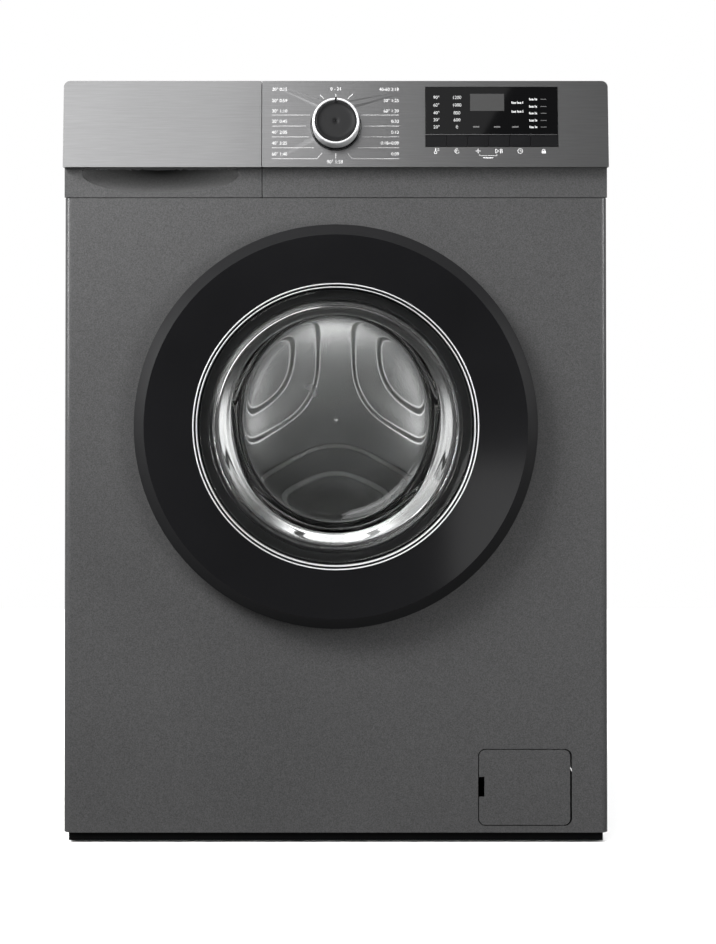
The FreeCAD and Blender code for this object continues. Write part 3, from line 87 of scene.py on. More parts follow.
class Look:
    """A procedural material, built node by node."""

    def __init__(self, name, rough=0.5, metal=0.0, **sockets):
        self.material = bpy.data.materials.new(name)
        self.material.use_nodes = True
        self.tree = self.material.node_tree
        self.shader = self.tree.nodes["Principled BSDF"]
        self.shader.inputs["Roughness"].default_value = rough
        self.shader.inputs["Metallic"].default_value = metal
        for key, value in sockets.items():
            self.shader.inputs[key.replace("_", " ")].default_value = value
        self.spot = self.node("ShaderNodeTexCoord").outputs["Object"]

    def node(self, kind, links=(), **settings):
        made = self.tree.nodes.new(kind)
        for key, value in settings.items():
            setattr(made, key, value)
        for key, value in dict(links).items():
            if isinstance(value, bpy.types.NodeSocket):
                self.tree.links.new(value, made.inputs[key])
            else:
                made.inputs[key].default_value = value
        return made

    def math(self, operation, a, b=0.0):
        return self.node("ShaderNodeMath", {0: a, 1: b}, operation=operation).outputs[0]

    def noise(self, scale, detail=2.0, stretch=(1, 1, 1), roughness=0.5):
        moved = self.node("ShaderNodeMapping", {"Vector": self.spot, "Scale": stretch})
        return self.node("ShaderNodeTexNoise", {"Vector": moved.outputs[0], "Scale": scale,
                                                "Detail": detail, "Roughness": roughness}).outputs["Fac"]

    def span(self, value, low, high, start=0.25, end=0.75):
        return self.node("ShaderNodeMapRange", {"Value": value, "From Min": start, "From Max": end,
                                                "To Min": low, "To Max": high}).outputs[0]

    def shade(self, value, low, high, start=0.25, end=0.75):
        ramp = self.node("ShaderNodeValToRGB", {"Fac": value})
        ramp.color_ramp.elements[0].position = start
        ramp.color_ramp.elements[1].position = end
        ramp.color_ramp.elements[0].color = (*low, 1)
        ramp.color_ramp.elements[1].color = (*high, 1)
        return ramp.outputs[0]

    def multiply(self, a, b):
        made = self.node("ShaderNodeMix", data_type="RGBA", blend_type="MULTIPLY")
        made.inputs[0].default_value = 1.0
        for slot, value in ((6, a), (7, b)):
            self.tree.links.new(value, made.inputs[slot])
        return made.outputs[2]

    def set(self, socket, value):
        self.tree.links.new(value, self.shader.inputs[socket])

    def bump(self, height, strength, distance):
        made = self.node("ShaderNodeBump", {"Height": height, "Strength": strength,
                                            "Distance": distance})
        self.set("Normal", made.outputs[0])


def grey(value):
    return (value, value, value)


def scaled(colour, factor):
    return tuple(min(1.0, channel * factor) for channel in colour)


def surface(name, base, rough, metal=0.0, cloud=(4, 0.05), grain=(900, 0.08), bump=(900, 0.15, 0.2),
            stretch=(1, 1, 1), rough_span=0.05, **sockets):
    """Clouding, fine grain, uneven gloss and a fine bump on one base colour."""
    look = Look(name, rough, metal, **sockets)
    soft = look.noise(cloud[0], 3)
    fine = look.noise(grain[0], 2, stretch)
    wide = look.shade(soft, scaled(base, 1 - cloud[1]), scaled(base, 1 + cloud[1]))
    close = look.shade(fine, grey(1 - 2 * grain[1]), grey(1.0))
    look.set("Base Color", look.multiply(wide, close))
    look.set("Roughness", look.span(soft, rough - rough_span, rough + rough_span))
    look.bump(look.noise(bump[0], 2, stretch), bump[1], bump[2] * MM)
    return look.material


PAINT = surface("graphite_paint", (0.086, 0.086, 0.087), 0.42, 0.35, grain=(850, 0.27),
                bump=(700, 0.55, 0.06), Coat_Weight=0.15, Coat_Roughness=0.25)
SILVER = surface("silver_fascia", (0.30, 0.30, 0.303), 0.33, 0.96, cloud=(3, 0.03), grain=(1100, 0.06),
                 bump=(1300, 0.12, 0.04), stretch=(0.03, 1, 1))
TOP = surface("grained_top", (0.080, 0.080, 0.081), 0.55, 0.0, grain=(700, 0.10), bump=(900, 0.5, 0.15))
GLOSS = surface("black_gloss", (0.0045, 0.0045, 0.005), 0.12, 0.0, cloud=(6, 0.2), grain=(300, 0.05),
                bump=(60, 0.02, 0.1), rough_span=0.02, Specular_IOR_Level=0.4)
WINDOW = surface("black_window", (0.0016, 0.0016, 0.0018), 0.03, 0.0, cloud=(6, 0.2), grain=(300, 0.05),
                 bump=(8, 0.01, 0.02), rough_span=0.01, Specular_IOR_Level=0.4)
KEYS = surface("black_keys", (0.0040, 0.0040, 0.0045), 0.4, 0.0, cloud=(6, 0.2), grain=(900, 0.08),
               bump=(1200, 0.15, 0.03), Specular_IOR_Level=0.3)
BEVEL = surface("black_satin_rim", (0.0095, 0.0095, 0.010), 0.5, 0.0, cloud=(6, 0.1),
                bump=(1200, 0.15, 0.05), Specular_IOR_Level=0.15)
DARK = surface("black_moulding", (0.022, 0.022, 0.023), 0.5, 0.0, bump=(1000, 0.4, 0.1))
CHROME = surface("chrome", (0.82, 0.82, 0.83), 0.09, 1.0, cloud=(10, 0.03), grain=(500, 0.02),
                 bump=(200, 0.02, 0.05), rough_span=0.03)
TRIM = surface("bright_trim", (0.86, 0.86, 0.87), 0.34, 0.55, cloud=(10, 0.03), grain=(500, 0.02),
               bump=(300, 0.02, 0.03))
STEEL = surface("stainless", (0.60, 0.60, 0.60), 0.24, 1.0, cloud=(7, 0.06), grain=(600, 0.05),
                bump=(500, 0.08, 0.05), stretch=(1, 1, 0.1))
WHITE = surface("white_moulding", (0.74, 0.74, 0.72), 0.42, 0.0, bump=(800, 0.2, 0.08),
                Subsurface_Weight=0.05)
TUB = surface("filled_plastic", (0.42, 0.42, 0.40), 0.5, 0.0, cloud=(9, 0.1), bump=(500, 0.35, 0.15))
RUBBER = surface("seal_rubber", (0.115, 0.115, 0.118), 0.55, 0.0, cloud=(12, 0.12), grain=(500, 0.06),
                 bump=(400, 0.3, 0.15), Sheen_Weight=0.15)
BELT = surface("belt_rubber", (0.012, 0.012, 0.012), 0.7, 0.0, bump=(900, 0.6, 0.2),
               stretch=(1, 0.2, 1))
CAST = surface("cast_alloy", (0.50, 0.50, 0.50), 0.45, 0.9, cloud=(20, 0.12), grain=(700, 0.1),
               bump=(350, 0.7, 0.3))
IRON = surface("cast_iron", (0.075, 0.073, 0.070), 0.75, 0.3, cloud=(15, 0.2), bump=(250, 0.9, 0.5))
MOTOR = surface("motor_enamel", (0.03, 0.03, 0.032), 0.4, 0.1, bump=(600, 0.3, 0.1))
SHINY = surface("machined_steel", (0.56, 0.56, 0.57), 0.28, 1.0, grain=(900, 0.08), stretch=(1, 0.1, 1))
# Partly painted shade: the black base pan is darkened almost to nought so the gap under the cabinet looks
# shaded.
UNDERSIDE_AND_SHADE = surface("black_underside_and_painted_shade", (0.0020, 0.0020, 0.0021), 0.7, 0.0, bump=(700, 0.4, 0.15),
                Specular_IOR_Level=0.1)
FOOT = surface("foot_moulding", (0.014, 0.014, 0.014), 0.6, 0.0, bump=(700, 0.5, 0.15))
BLUE = surface("blue_cap", (0.03, 0.12, 0.36), 0.4, 0.0, bump=(800, 0.2, 0.08))
KNOB_FACE = surface("knob_face_satin", (0.012, 0.012, 0.0125), 0.30, 0.3, grain=(1000, 0.06),
                    bump=(1000, 0.15, 0.04))


def galvanised():
    """Zinc spangle: patches of slightly different grey."""
    look = Look("zinc_sheet", 0.36, 0.9)
    cells = look.node("ShaderNodeTexVoronoi", {"Vector": look.spot, "Scale": 95.0})
    patch = look.node("ShaderNodeSeparateColor", {0: cells.outputs["Color"]}).outputs[0]
    fine = look.noise(700, 2)
    tone = look.shade(patch, (0.40, 0.41, 0.42), (0.58, 0.59, 0.60), 0.0, 1.0)
    look.set("Base Color", look.multiply(tone, look.shade(fine, grey(0.86), grey(1.0))))
    look.set("Roughness", look.span(patch, 0.28, 0.46, 0.0, 1.0))
    look.bump(fine, 0.12, 0.05 * MM)
    return look.material


def board():
    """Green lacquer over copper tracks."""
    look = Look("lacquered_board", 0.3)
    tracks = look.node("ShaderNodeTexVoronoi", {"Vector": look.spot, "Scale": 260.0},
                       distance="CHEBYCHEV")
    edge = look.shade(tracks.outputs["Distance"], (0.010, 0.075, 0.028), (0.025, 0.16, 0.06), 0.3, 0.34)
    look.set("Base Color", look.multiply(edge, look.shade(look.noise(500), grey(0.85), grey(1.0))))
    look.bump(tracks.outputs["Distance"], 0.3, 0.1 * MM)
    return look.material


HOLES_ROUND = 104
HOLE_PITCH = 14


def perforated():
    """Polished sheet with staggered rows of small drain holes round the drum, drawn as dark spots of painted
    shade with a bump.
    """
    look = Look("perforated_stainless", 0.2, 1.0)
    parts = look.node("ShaderNodeSeparateXYZ", {0: look.spot}).outputs
    angle = look.math("ARCTAN2", look.math("SUBTRACT", parts[2], DOOR_Z), parts[0])
    around = look.math("MULTIPLY", angle, HOLES_ROUND / (2 * math.pi))
    along = look.math("MULTIPLY", parts[1], 1 / (HOLE_PITCH * MM))
    spots = []
    for shift in (0.0, 0.5):
        a = look.math("SUBTRACT", look.math("FRACT", look.math("ADD", around, shift)), 0.5)
        b = look.math("SUBTRACT", look.math("FRACT", look.math("ADD", along, shift)), 0.5)
        square = look.math("ADD", look.math("MULTIPLY", a, a), look.math("MULTIPLY", b, b))
        spots.append(look.math("SQRT", square))
    nearest = look.math("MINIMUM", spots[0], spots[1])
    hole = look.span(nearest, 0.0, 1.0, 0.11, 0.14)
    sheet = look.shade(look.noise(8, 3), grey(0.52), grey(0.64))
    # Painted shade: the holes are near-black spots in the colour, standing in for the dark seen through
    # them.
    dark = look.shade(hole, grey(0.02), grey(1.0), 0.0, 1.0)
    look.set("Base Color", look.multiply(sheet, dark))
    look.set("Roughness", look.span(look.noise(30, 3), 0.14, 0.28))
    look.bump(look.span(nearest, 0.0, 1.0, 0.10, 0.20), 0.6, 0.6 * MM)
    return look.material


def clear_glass():
    """Pressed glass with a faint ripple."""
    look = Look("moulded_glass", 0.0, 0.0, Transmission_Weight=1.0, IOR=1.5,
                Base_Color=(0.97, 0.985, 0.98, 1))
    look.set("Roughness", look.span(look.noise(5, 2), 0.0, 0.012))
    look.bump(look.noise(9, 1.5), 0.25, 1.5 * MM)
    return look.material


def print_ink(name, tone, rough=0.45):
    """Ink or backing printed on the fascia."""
    return surface(name, grey(tone), rough, 0.0, grain=(1500, 0.03), bump=(1200, 0.05, 0.02))


def paint_scoop_shade():
    """The sheet's paint in the finger scoop, with a painted shade that darkens it towards the deep top under
    the lip.
    """
    look = Look("scoop_painted_shade", 0.5, 0.2)
    parts = look.node("ShaderNodeSeparateXYZ", {0: look.spot}).outputs
    low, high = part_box("drawer_front")
    middle = (low.x + high.x) / 2 - SCOOP_SHIFT * MM
    across = look.math("MULTIPLY", look.math("SUBTRACT", parts[0], middle), 1 / (SCOOP_HALF * MM))
    below = look.math("MULTIPLY", look.math("SUBTRACT", parts[2], STRIP_TOP * MM), 1 / (SCOOP_DROP * MM))
    reach = look.math("SQRT", look.math("ADD", look.math("MULTIPLY", across, across),
                                        look.math("MULTIPLY", below, below)))
    # Painted shade: near black at the top middle under the lip, fading out to the paint at the scoop's edge.
    depth = look.shade(reach, grey(0.03), grey(1.0), 0.12, 0.98)
    fine = look.shade(look.noise(560, 2), grey(0.060), grey(0.092))
    look.set("Base Color", look.multiply(fine, depth))
    look.bump(look.noise(700, 2), 0.5, 0.06 * MM)
    return look.material


ZINC = galvanised()
BOARD = board()
DRUM = perforated()
GLASS = clear_glass()
INK = print_ink("pale_ink", 0.56)
DIM = print_ink("dim_ink", 0.42)
FAINT = print_ink("faint_ink", 0.085)
SCREEN = print_ink("screen_back", 0.035, 0.2)

FINISHES = {
    "painted_sheet": PAINT, "silver_fascia": SILVER, "top_plastic": TOP, "black_gloss": GLOSS,
    "dark_plastic": DARK, "chrome_trim": CHROME, "door_glass": GLASS, "seal_rubber": RUBBER,
    "belt_rubber": BELT, "stainless": DRUM, "white_plastic": WHITE, "tub_plastic": TUB,
    "zinc_steel": ZINC, "cast_alloy": CAST, "motor_steel": MOTOR, "bare_steel": SHINY,
    "weight_iron": IRON, "foot_plastic": FOOT, "board_green": BOARD,
}
KEY_NODES = [name for name in NODES if name.startswith("button_")]
# The base pan's near-black finish is partly painted shade for the gap under the cabinet.
OWN_FINISH = {"display_window": WINDOW, "base_pan": UNDERSIDE_AND_SHADE}
OWN_FINISH.update({name: KEYS for name in KEY_NODES})
for entry in frame["record"]["subparts"]:
    mesh = NODES[entry["node"]].data
    mesh.materials.clear()
    mesh.materials.append(OWN_FINISH.get(entry["node"], FINISHES[entry["material_slot"]]))


def second_finish(name, material, chosen):
    """Give some faces of a piece one more material."""
    mesh = NODES[name].data
    mesh.materials.append(material)
    for face in mesh.polygons:
        if chosen(face.center):
            face.material_index = len(mesh.materials) - 1


def on_strip(spot):
    return spot.z < (STRIP_TOP - 0.1) * MM


def in_scoop(spot):
    return on_strip(spot) and spot.z > SCOOP_FLOOR * MM and spot.y > FRONT + 0.25 * MM


def on_bevel(spot):
    return math.hypot(spot.x, spot.z - DOOR_Z) > BEVEL_START * MM


# The strip under the fascia's lip has the sheet's paint, the finger scoop gets a painted shade under the
# lip, and the door's sloping rim is satin.
second_finish("control_panel", PAINT, on_strip)
second_finish("drawer_front", PAINT, on_strip)
second_finish("drawer_front", paint_scoop_shade(), in_scoop)
second_finish("door_outer_frame", BEVEL, on_bevel)

SOFT_EDGES = {"control_panel": 0.9, "drawer_front": 0.9, "top_cover": 1.5, "filter_flap": 0.5,
              "door_outer_frame": 1.0, "foot_left": 1.0, "foot_right": 1.0, "rear_feet": 1.0,
              "drawer_tray": 0.5, "drum_paddles": 4.0, "display_window": 0.3, "dispenser_box": 0.5,
              "motor_housing": 2.0, "counterweights": 3.0, "filter_plug": 1.0, "door_lock": 1.0}
SOFT_EDGES.update({name: 0.35 for name in KEY_NODES})
SHARP = 32
for name, width in SOFT_EDGES.items():
    item = NODES[name]
    weld = item.modifiers.new("weld", "WELD")
    weld.merge_threshold = 0.01 * MM
    bevel = item.modifiers.new("soft_edges", "BEVEL")
    bevel.width = width * MM
    bevel.segments = 3
    bevel.limit_method = "ANGLE"
    bevel.angle_limit = math.radians(SHARP)
    bevel.harden_normals = True


# ---------------------------------------------------------------- mesh helpers

def piece(name, points, faces, material, smooth=True):
    mesh = bpy.data.meshes.new(name)
    mesh.from_pydata([tuple(point) for point in points], [], faces)
    mesh.materials.append(material)
    if smooth:
        mesh.polygons.foreach_set("use_smooth", [True] * len(mesh.polygons))
    mesh.update()
    item = bpy.data.objects.new(name, mesh)
    bpy.context.scene.collection.objects.link(item)
    return item


def subdivide(item, levels):
    step = item.modifiers.new("smooth", "SUBSURF")
    step.levels = levels
    step.render_levels = levels
    bpy.context.view_layer.objects.active = item
    bpy.ops.object.modifier_apply(modifier=step.name)
    return item


def lathe(name, profile, material, centre=(0, FRONT, DOOR_Z), count=96, smooth_levels=0,
          axis=(ACROSS, Vector((0, 0, 1)), Vector((0, 1, 0)))):
    """A closed outline of (depth, radius), in millimetres, turned about an axis."""
    side, top, deep = axis
    points = []
    faces = []
    rows = len(profile)
    for turn in range(count):
        angle = 2 * math.pi * turn / count
        way = side * math.cos(angle) + top * math.sin(angle)
        for depth, radius in profile:
            points.append(Vector(centre) + (deep * depth + way * radius) * MM)
    for turn in range(count):
        for row in range(rows):
            following = (turn + 1) % count
            after = (row + 1) % rows
            faces.append((turn * rows + row, turn * rows + after, following * rows + after,
                          following * rows + row))
    item = piece(name, points, faces, material)
    if smooth_levels:
        subdivide(item, smooth_levels)
    return item


def swept(points, radius, sides=12, radius_at=None):
    """Points and faces of a round tube along a line of points."""
    ring = []
    faces = []
    normal = None
    for index, point in enumerate(points):
        before = points[max(index - 1, 0)]
        after = points[min(index + 1, len(points) - 1)]
        way = (after - before).normalized()
        if normal is None:
            normal = way.orthogonal().normalized()
        normal = (normal - way * normal.dot(way)).normalized()
        other = way.cross(normal)
        size = radius_at(index) if radius_at else radius
        for step in range(sides):
            angle = 2 * math.pi * step / sides
            ring.append(point + (normal * math.cos(angle) + other * math.sin(angle)) * size)
    for index in range(len(points) - 1):
        for step in range(sides):
            a = index * sides + step
            b = index * sides + (step + 1) % sides
            faces.append((a, b, b + sides, a + sides))
    faces.append(tuple(range(sides - 1, -1, -1)))
    faces.append(tuple(range(len(ring) - sides, len(ring))))
    return ring, faces


def merged(parts):
    """Several lists of points and faces as one."""
    points = []
    faces = []
    for some_points, some_faces in parts:
        shift = len(points)
        points.extend(some_points)
        faces.extend(tuple(index + shift for index in face) for face in some_faces)
    return points, faces


# ---------------------------------------------------------------- drum and door

STAR_RISE = 16
STAR_ROUND = 13.0
# Each step down from an arm's middle line: where it starts, how wide it is and how deep.
STAR_STEPS = ((20, 5, 3.5), (25, 28, 1.0), (52, 5, 3.5), (60, 60, 2.0))
STAR_EDGE = 196
STAR_FADE = 26


def star_height(x, z):
    """How far the pressed star stands out of the drum's back at a place, in millimetres."""
    blend = 0.0
    reach = math.hypot(x, z)
    for turn in (90, 210, 330):
        c, s = math.cos(math.radians(turn)), math.sin(math.radians(turn))
        along = x * c + z * s
        across = abs(-x * s + z * c)
        away = across if along > 0 else reach
        blend += math.exp(-away / STAR_ROUND)
    away = -STAR_ROUND * math.log(blend)
    drop = sum(smooth_step((away - start) / wide) * deep for start, wide, deep in STAR_STEPS)
    edge = smooth_step((reach - STAR_EDGE) / STAR_FADE)
    return (STAR_RISE - drop) * (1 - edge)


def smooth_step(value):
    """A rise from nought to one with no kink at either end."""
    value = max(0.0, min(1.0, value))
    return value * value * (3 - 2 * value)


def drum_back():
    """The drum's back sheet with its pressed star, finer where the glass shows it."""
    rings = 112
    turns = 264
    radius = 233.0
    fine = 165.0
    fine_share = 0.88
    base = 344.0
    sheet = 1.2
    points = []
    faces = []
    for side in (0, 1):
        for row in range(rings + 1):
            share = max(row / rings, 0.006)
            reach = share * fine / fine_share
            if share >= fine_share:
                reach = fine + (radius - fine) * (share - fine_share) / (1 - fine_share)
            for turn in range(turns):
                angle = 2 * math.pi * turn / turns
                x, z = reach * math.cos(angle), reach * math.sin(angle)
                height = star_height(x, z)
                points.append((x * MM, FRONT + (base - height + side * sheet) * MM, DOOR_Z + z * MM))
    for side in (0, 1):
        start = side * (rings + 1) * turns
        for row in range(rings):
            for turn in range(turns):
                following = (turn + 1) % turns
                face = (start + row * turns + turn, start + row * turns + following,
                        start + (row + 1) * turns + following, start + (row + 1) * turns + turn)
                faces.append(face if side == 0 else face[::-1])
    other = (rings + 1) * turns
    faces.append(tuple(range(turns - 1, -1, -1)))
    faces.append(tuple(range(other, other + turns)))
    last = rings * turns
    for turn in range(turns):
        following = (turn + 1) % turns
        faces.append((last + turn, last + following, other + last + following, other + last + turn))
    item = piece("drum_star", points, faces, STEEL)
    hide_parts("drum_back")
    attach(item, "drum")


def glass_bowl():
    """Turned bowl that grows taller than it is wide towards its inner end."""
    profile = [(-24, 150.2), (-24, 146), (-24, 137), (-22.5, 132), (-14, 129), (0, 126.5), (30, 120),
               (60, 113), (76, 109), (84, 106), (88.6, 99), (90, 89), (90.4, 60), (90.5, 4), (90.5, 0.2),
               (95.5, 0.2), (95.5, 4), (95.4, 60), (95.2, 92), (93.4, 103), (88, 110.5), (78, 114),
               (62, 118.5), (31, 126), (0, 132.2), (-12, 135), (-18.5, 139), (-19.3, 146), (-19.3, 150.2)]
    start, run = 14, 60
    wider, taller, lift = 0.03, 0.13, 4
    item = lathe("glass_bowl", profile, GLASS, smooth_levels=2)
    for point in item.data.vertices:
        inward = smooth_step(((point.co.y - FRONT) / MM - start) / run)
        rise = point.co.z - DOOR_Z
        point.co.x *= 1 + wider * inward
        point.co.z = DOOR_Z + rise * (1 + taller * inward) + lift * MM * inward
    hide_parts("door_glass")
    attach(item, "door")


def trim_ring():
    """Two fine chrome rings with a black channel between them."""
    outer = [(-30, 155.7), (-35.4, 155.7), (-36.1, 155.3), (-36.2, 154.7), (-35.7, 154.2), (-30, 154.2)]
    inner = [(-30, 152.0), (-34.7, 152.0), (-35.2, 151.6), (-35.2, 151.1), (-34.8, 150.7),
             (-24.4, 150.7), (-24.4, 152.0)]
    channel = [(-24.6, 155.6), (-32.5, 155.6), (-33.2, 154.6), (-33.4, 153.1), (-33.2, 151.6),
               (-32.5, 150.9), (-24.6, 150.9)]
    for name, profile, finish in (("trim_outer", outer, TRIM), ("trim_inner", inner, TRIM),
                                  ("trim_channel", channel, GLOSS)):
        item = lathe(name, profile, finish, count=200, smooth_levels=1)
        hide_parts("door_trim_ring")
        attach(item, "door")


def gasket():
    """Bellows with a lip towards the door glass, three folds and a bead on the tub."""
    profile = [(-1.2, 159.5), (-1.4, 162), (-1.2, 165.4), (3, 165.6), (11, 165.5), (16, 163.5),
               (20, 158.2), (24, 161.5), (28, 165.2), (31, 166), (34, 165), (38, 164.6),
               (44.3, 164.5), (44.5, 163), (44.3, 161.5), (38, 161.5), (34, 161.8), (30, 163.2),
               (27.5, 162), (24, 157), (20, 153.7), (16, 157.5), (12, 161.2), (7, 161.8),
               (3.5, 159.2), (5, 153), (8.2, 137.0), (7.6, 135.6), (6.0, 136), (3.0, 148), (0.5, 156)]
    item = lathe("bellows", profile, RUBBER, count=128, smooth_levels=1)
    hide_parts("door_gasket")
    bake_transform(item)
    line = []
    steps = 120
    wire_radius = 167.6 * MM
    for step in range(steps + 1):
        angle = 2 * math.pi * step / steps
        line.append(Vector((math.cos(angle) * wire_radius, FRONT + 9.5 * MM,
                            DOOR_Z + math.sin(angle) * wire_radius)))
    points, faces = swept(line, 0.9 * MM, 8)
    wire = piece("bellows_wire", points, faces, SHINY)
    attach(wire, "cabinet")


# ---------------------------------------------------------------- knob and fascia

FASCIA_AXIS = (ACROSS, UP, -OUT)


def knob():
    """Ring, cap, stem, skirt and the pointer at the ring's top."""
    centre = on_fascia(0, KNOB_UP)
    ring = [(-2.6, 25.4), (-3.2, 25.9), (-14, 25.9), (-23.4, 25.8), (-25.2, 25.2), (-26, 24.2),
            (-25.6, 23.0), (-24.2, 22.7), (-12, 22.75), (-2.6, 22.75)]
    item = lathe("knob_rim", ring, TRIM, centre, 128, 1, FASCIA_AXIS)
    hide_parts("knob_ring")
    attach(item, "knob")
    face = [(-3.2, 19.9), (-3.2, 22.3), (-20, 22.35), (-24.4, 22.3), (-25.3, 21.6), (-25.3, 20.4),
            (-24.7, 19.2), (-24.6, 17), (-24.6, 3), (-24.6, 0.15), (-21.5, 0.15), (-21.4, 10), (-21.2, 19.9)]
    item = lathe("knob_face", face, KNOB_FACE, centre, 128, 1, FASCIA_AXIS)
    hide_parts("knob_cap")
    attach(item, "knob")
    stem = [(-22, 0.6), (-22, 3.0), (11, 3.0), (11, 0.6)]
    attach(lathe("knob_stem", stem, DARK, centre, 32, 0, FASCIA_AXIS), "knob")
    skirt = [(-2.2, 27.2), (-2.6, 26.4), (-2.6, 25.2), (-1.9, 24.8), (0.4, 24.8), (0.4, 28.2),
             (-1.2, 28.2)]
    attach(lathe("knob_skirt", skirt, GLOSS, centre, 128, 1, FASCIA_AXIS), "cabinet")
    corners = [on_fascia(x, KNOB_UP + up, 26.35) for x, up in
               ((-0.9, 20.4), (0.9, 20.4), (0.9, 26.1), (-0.9, 26.1))]
    back = [corner - OUT * 1.4 * MM for corner in corners]
    faces = [(0, 1, 2, 3), (7, 6, 5, 4), (0, 4, 5, 1), (1, 5, 6, 2), (2, 6, 7, 3), (3, 7, 4, 0)]
    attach(piece("knob_pointer", corners + back, faces, GLOSS, False), "knob")


def stroke(start, end, wide, out=0.06):
    """A printed line between two places on the fascia, as a thin plate."""
    a, b = Vector(start), Vector(end)
    way = (b - a).normalized()
    side = Vector((-way.y, way.x)) * wide / 2
    flat = [a - side, b - side, b + side, a + side]
    points = [on_fascia(spot.x, spot.y, out) for spot in flat]
    points += [on_fascia(spot.x, spot.y, -0.05) for spot in flat]
    faces = [(0, 1, 2, 3), (0, 4, 5, 1), (1, 5, 6, 2), (2, 6, 7, 3), (3, 7, 4, 0)]
    return points, faces


def arc(centre, radius, start, end, wide, out=0.06, count=14):
    """A printed arc, from one angle to another in degrees."""
    spots = []
    for step in range(count + 1):
        angle = math.radians(start + (end - start) * step / count)
        spots.append((centre[0] + radius * math.cos(angle), centre[1] + radius * math.sin(angle)))
    return merged([stroke(spots[i], spots[i + 1], wide, out) for i in range(count)])


def printed(name, parts, material):
    """One piece of ink from several strokes."""
    points, faces = merged(parts)
    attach(piece(name, points, faces, material, False), "cabinet")


def lettering(name, body, x, up, size, material, align="LEFT", out=0.05):
    """A number or time printed on the fascia."""
    text = bpy.data.curves.new(name, "FONT")
    text.body = body
    text.size = size * MM
    text.align_x = align
    text.align_y = "CENTER"
    text.extrude = 0.02 * MM
    text.materials.append(material)
    item = bpy.data.objects.new(name, text)
    turned = Matrix((ACROSS, UP, OUT)).transposed().to_4x4()
    item.matrix_world = Matrix.Translation(on_fascia(x, up, out)) @ turned
    bpy.context.scene.collection.objects.link(item)
    bpy.context.view_layer.update()
    bpy.ops.object.select_all(action="DESELECT")
    item.select_set(True)
    bpy.context.view_layer.objects.active = item
    bpy.ops.object.convert(target="MESH")
    item = bpy.context.view_layer.objects.active
    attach(item, "cabinet")


TEXT_LEFT = -70.4
TEXT_RIGHT = 69.5
ROW_UP = (86.7, 74.0, 62.4, 50.8, 38.6, 26.5, 14.3)
LINE_UP = (58.0, 45.7, 33.6, 21.4, 9.2)
LEFT_ENDS = (-28.5, -32.9, -29.6, -24.1, -20.8)
RIGHT_STARTS = (27.6, 30.9, 28.7, 24.3, 17.7)
LEFT_TEXT = ("20° 0:15", "20° 0:59", "30° 1:10", "30° 0:45", "40° 2:05", "40° 3:25", "60° 1:40")
RIGHT_TEXT = ("40-60 3:18", "30° 1:25", "60° 1:30", "0:30", "0:12", "0:18+0:09", "0:09")


def fascia_print():
    """Programme times beside the knob, with a rule under each and marks round the ring."""
    thin = 0.38
    lines = []
    for up, left, right in zip(LINE_UP, LEFT_ENDS, RIGHT_STARTS):
        lines.append(stroke((TEXT_LEFT, up), (left, up), thin))
        lines.append(stroke((right, up), (TEXT_RIGHT, up), thin))
    lines.append(stroke((-20.8, 9.2), (-15.3, 15.4), thin))
    lines.append(stroke((17.7, 9.2), (12.8, 15.4), thin))
    lines.append(stroke((0, 77.3), (0, 81.7), 0.6))
    lines.append(stroke((-17.5, 80.6), (-13.1, 76.2), 0.5))
    lines.append(stroke((13.3, 76.2), (18.8, 81.7), 0.5))
    lines.append(stroke((0, 9.8), (0, 15.4), 0.6))
    printed("programme_lines", lines, INK)
    for index, up in enumerate(ROW_UP):
        lettering("programme_left_%d" % index, LEFT_TEXT[index], TEXT_LEFT, up, TEXT_SIZE, INK)
        lettering("programme_right_%d" % index, RIGHT_TEXT[index], TEXT_RIGHT, up, TEXT_SIZE, INK, "RIGHT")
    lettering("programme_top", "0 - 24", 0, 87.2, TEXT_SIZE, INK, "CENTER")
    lettering("programme_bottom", "90° 1:58", -1, 5.6, 5.2, INK, "CENTER")


KEY_X = (109.7, 133.4, 156.5, 179.1, 202.7, 228.6)


def key_symbols():
    """Simple signs below the keys: heat, spin, extra, start, delay and lock."""
    up = 17.8
    w = 0.55
    marks = []
    x = KEY_X[0]
    marks += [arc((x, up - 1.6), 1.5, 0, 360, w), stroke((x, up - 0.2), (x, up + 3.2), 1.0),
              stroke((x + 2, up + 2.4), (x + 4, up + 2.4), w),
              stroke((x + 2, up + 0.6), (x + 4, up + 0.6), w)]
    x = KEY_X[1]
    marks += [arc((x, up), 1.2, 0, 250, w), arc((x, up), 2.6, 70, 330, w)]
    x = KEY_X[2]
    marks += [stroke((x - 2.6, up), (x + 2.6, up), 0.7), stroke((x, up - 2.6), (x, up + 2.6), 0.7)]
    x = KEY_X[3]
    marks += [stroke((x - 3.4, up - 2.4), (x - 3.4, up + 2.4), w),
              stroke((x - 3.4, up + 2.4), (x + 0.2, up), w), stroke((x + 0.2, up), (x - 3.4, up - 2.4), w),
              stroke((x + 1.8, up - 2.4), (x + 1.8, up + 2.4), 0.8),
              stroke((x + 3.6, up - 2.4), (x + 3.6, up + 2.4), 0.8)]
    x = KEY_X[4]
    marks += [arc((x, up), 2.6, 0, 360, w, count=20), stroke((x, up), (x, up + 1.8), w),
              stroke((x, up), (x + 1.4, up), w)]
    x = KEY_X[5]
    marks += [stroke((x - 2.2, up - 1.2), (x + 2.2, up - 1.2), 2.8), arc((x, up + 0.4), 1.5, 0, 180, w)]
    marks += [stroke((158, 14.4), (158, 12.6), 0.35), stroke((158, 12.6), (177, 12.6), 0.35),
              stroke((177, 12.6), (177, 14.4), 0.35), stroke((162, 10.2), (173, 10.2), 0.9)]
    printed("key_symbols", marks, INK)


HEATS = ("90°", "60°", "40°", "30°", "20°")
SPEEDS = ("1200", "1000", "800", "600", "0")
SETTING_UP = (77.5, 69.0, 60.2, 52.4, 44.4)


